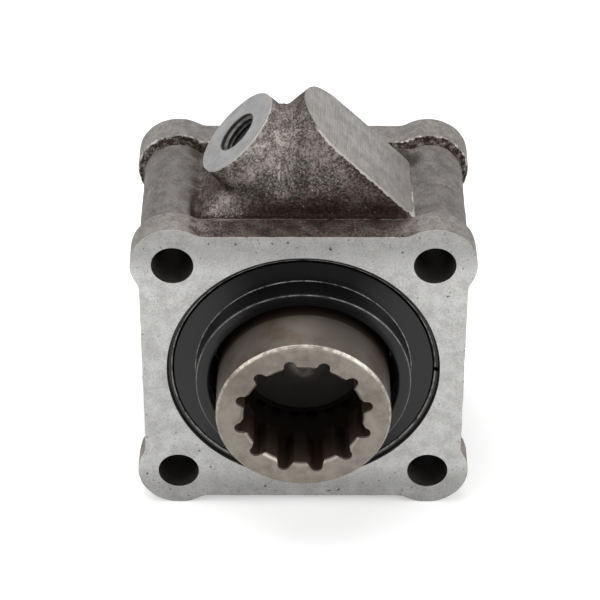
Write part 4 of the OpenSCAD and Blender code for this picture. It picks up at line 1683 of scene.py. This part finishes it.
@dataclass
class Studio:
    """Pale floor, soft light, white surroundings and the camera at the photograph's place.

    Attributes:
        camera_at: Place of the camera.
        camera_yaw: Angle of the view to the right of +Y in degrees.
        camera_pitch: Angle of the view below the horizon in degrees.
        camera_roll: Turn of the camera about its view in degrees.
        lens: Focal length for a sensor 36 mm wide.
        floor_half: Half of the floor's width.
        floor_fade: Distance from the part at which the floor starts to fade to white, and is white.
        ambient: Strength of the even light from all round.
        lamps: Name, place, width and power in watts of each soft lamp.
    """

    camera_at: Vector = Vector((-2.249, -646.189, 485.882))
    camera_yaw: float = 0.103
    camera_pitch: float = 35.364
    camera_roll: float = -0.119
    lens: float = 154.9
    floor_half: float = 4000.0
    floor_fade: tuple[float, float] = (400.0, 1000.0)
    ambient: float = 0.22
    lamps: tuple[tuple[str, tuple[float, float, float], float, float], ...] = (
        ("top_lamp", (-150.0, 150.0, 1100.0), 1000.0, 8.5),
        ("left_lamp", (-1000.0, -350.0, 600.0), 900.0, 4.6),
        ("right_lamp", (950.0, -500.0, 550.0), 800.0, 6.8),
        ("front_lamp", (0.0, -1300.0, 350.0), 900.0, 2.0),
    )

    def floor(self, height: float) -> bpy.types.Object:
        """Lays the floor under the part.

        Args:
            height: Height of the floor in metres.

        Returns:
            The floor.
        """
        bm = bmesh.new()
        half = self.floor_half * MM
        bmesh.ops.create_grid(bm, x_segments=1, y_segments=1, size=half, matrix=Matrix.Translation((0, 0, height)))
        made = to_mesh_object(bm, "floor")
        paper = bpy.data.materials.new("white_paper")
        paper.use_nodes = True
        tree = paper.node_tree
        tree.nodes.clear()
        rays = add(tree, "ShaderNodeLightPath")
        matt = add(tree, "ShaderNodeBsdfDiffuse", {"Color": linear("#f4f4f4")})
        away = add(tree, "ShaderNodeVectorMath", {0: Finish.millimetres(tree)}, operation="LENGTH")
        paler = Finish.band(tree, away.outputs["Value"], *self.floor_fade)
        paler = add(tree, "ShaderNodeMapRange", {"Value": paler, "To Min": 0.4, "To Max": 1.0})
        lift = Finish.overlap(tree, rays.outputs["Is Camera Ray"], paler)
        glow = add(tree, "ShaderNodeEmission", {"Color": (1, 1, 1, 1), "Strength": lift})
        both = add(tree, "ShaderNodeAddShader", {0: matt, 1: glow})
        add(tree, "ShaderNodeOutputMaterial", {"Surface": both})
        made.data.materials.append(paper)
        made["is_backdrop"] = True
        return made

    def surroundings(self) -> None:
        """Sets an even dim light that camera, mirror and glass rays see as white."""
        world = bpy.data.worlds.new("white_room")
        world.use_nodes = True
        tree = world.node_tree
        tree.nodes.clear()
        rays = add(tree, "ShaderNodeLightPath")
        kinds = ("Is Camera Ray", "Is Glossy Ray", "Is Transmission Ray")
        seen = Finish.union(tree, *(rays.outputs[kind] for kind in kinds))
        strength = add(tree, "ShaderNodeMapRange", {"Value": seen, "To Min": self.ambient, "To Max": 1.0})
        sky = add(tree, "ShaderNodeBackground", {"Color": (1, 1, 1, 1), "Strength": strength})
        add(tree, "ShaderNodeOutputWorld", {"Surface": sky})
        bpy.context.scene.world = world

    def light(self) -> None:
        """Hangs the soft lamps."""
        for name, place, width, power in self.lamps:
            lamp = bpy.data.lights.new(name, "AREA")
            lamp.shape = "SQUARE"
            lamp.size = width * MM
            lamp.energy = power
            made = bpy.data.objects.new(name, lamp)
            made.location = Vector(place) * MM
            made.rotation_euler = (-Vector(place)).to_track_quat("-Z", "Y").to_euler()
            bpy.context.scene.collection.objects.link(made)

    def camera(self) -> None:
        """Sets the camera where the photograph was taken from."""
        lens = bpy.data.cameras.new("photo_camera")
        lens.lens = self.lens
        lens.sensor_width = 36.0
        lens.clip_start, lens.clip_end = 0.01, 100.0
        made = bpy.data.objects.new("photo_camera", lens)
        yaw, pitch = math.radians(self.camera_yaw), math.radians(self.camera_pitch)
        ahead = Vector((math.sin(yaw) * math.cos(pitch), math.cos(yaw) * math.cos(pitch), -math.sin(pitch)))
        aside = Vector((math.cos(yaw), -math.sin(yaw), 0))
        above = aside.cross(ahead)
        facing = Matrix((aside, above, -ahead)).transposed().to_4x4()
        roll = Matrix.Rotation(math.radians(-self.camera_roll), 4, "Z")
        made.matrix_world = Matrix.Translation(self.camera_at * MM) @ facing @ roll
        bpy.context.scene.collection.objects.link(made)
        bpy.context.scene.camera = made

    def build(self, floor_height: float) -> None:
        """Builds the whole studio.

        Args:
            floor_height: Height of the floor in metres.
        """
        self.floor(floor_height)
        self.surroundings()
        self.light()
        self.camera()
        bpy.context.scene.view_settings.view_transform = "Standard"
        LOG.info("studio: floor at %.4f m", floor_height)


def main() -> None:
    """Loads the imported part, builds its pieces in order and sets the studio."""
    logging.basicConfig(level=logging.INFO, format="%(name)s %(message)s")
    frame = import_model()
    nodes = frame["nodes"]
    cad_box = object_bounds()
    Casting().build()
    PortThread().build()
    # Black anodising: charcoal, with a pale line wherever an edge has lost it
    rims = ((33.35, -6.1, 0.5), (29.6, -6.25, 0.08), (33.75, 0.95, 0.9))
    anodised = BlackedMetal("black_anodised_aluminium", rims=rims)
    # Dull steel with an even grey sheen, and a pale painted highlight on the raised middle of its end
    dull = BlackedMetal("dull_plug_steel", "#44403d", "#a8a39b", ((0.0, 2.5, 0.9),), 5.0, (0.5, 0.5))
    for part in (
        BrokenEdges("cover", "front_cover", Body.CASING, "cover", anodised, 0.15),
        BrokenEdges(
            "coupling_sleeve",
            "splined_sleeve",
            Body.SLEEVE,
            "sleeve",
            OiledSteel("oiled_hardened_steel"),
            0.18,
            split_from=10.0,
        ),
        BrokenEdges("shaft_plug", "hexagon_plug", Body.SHAFT, "plug", dull, 0.3),
    ):
        part.build(nodes)
    PistonSpring().build(nodes)
    InnerParts().dress(nodes)
    Studio().build(cad_box[0].z)


if __name__ == "__main__":
    main()
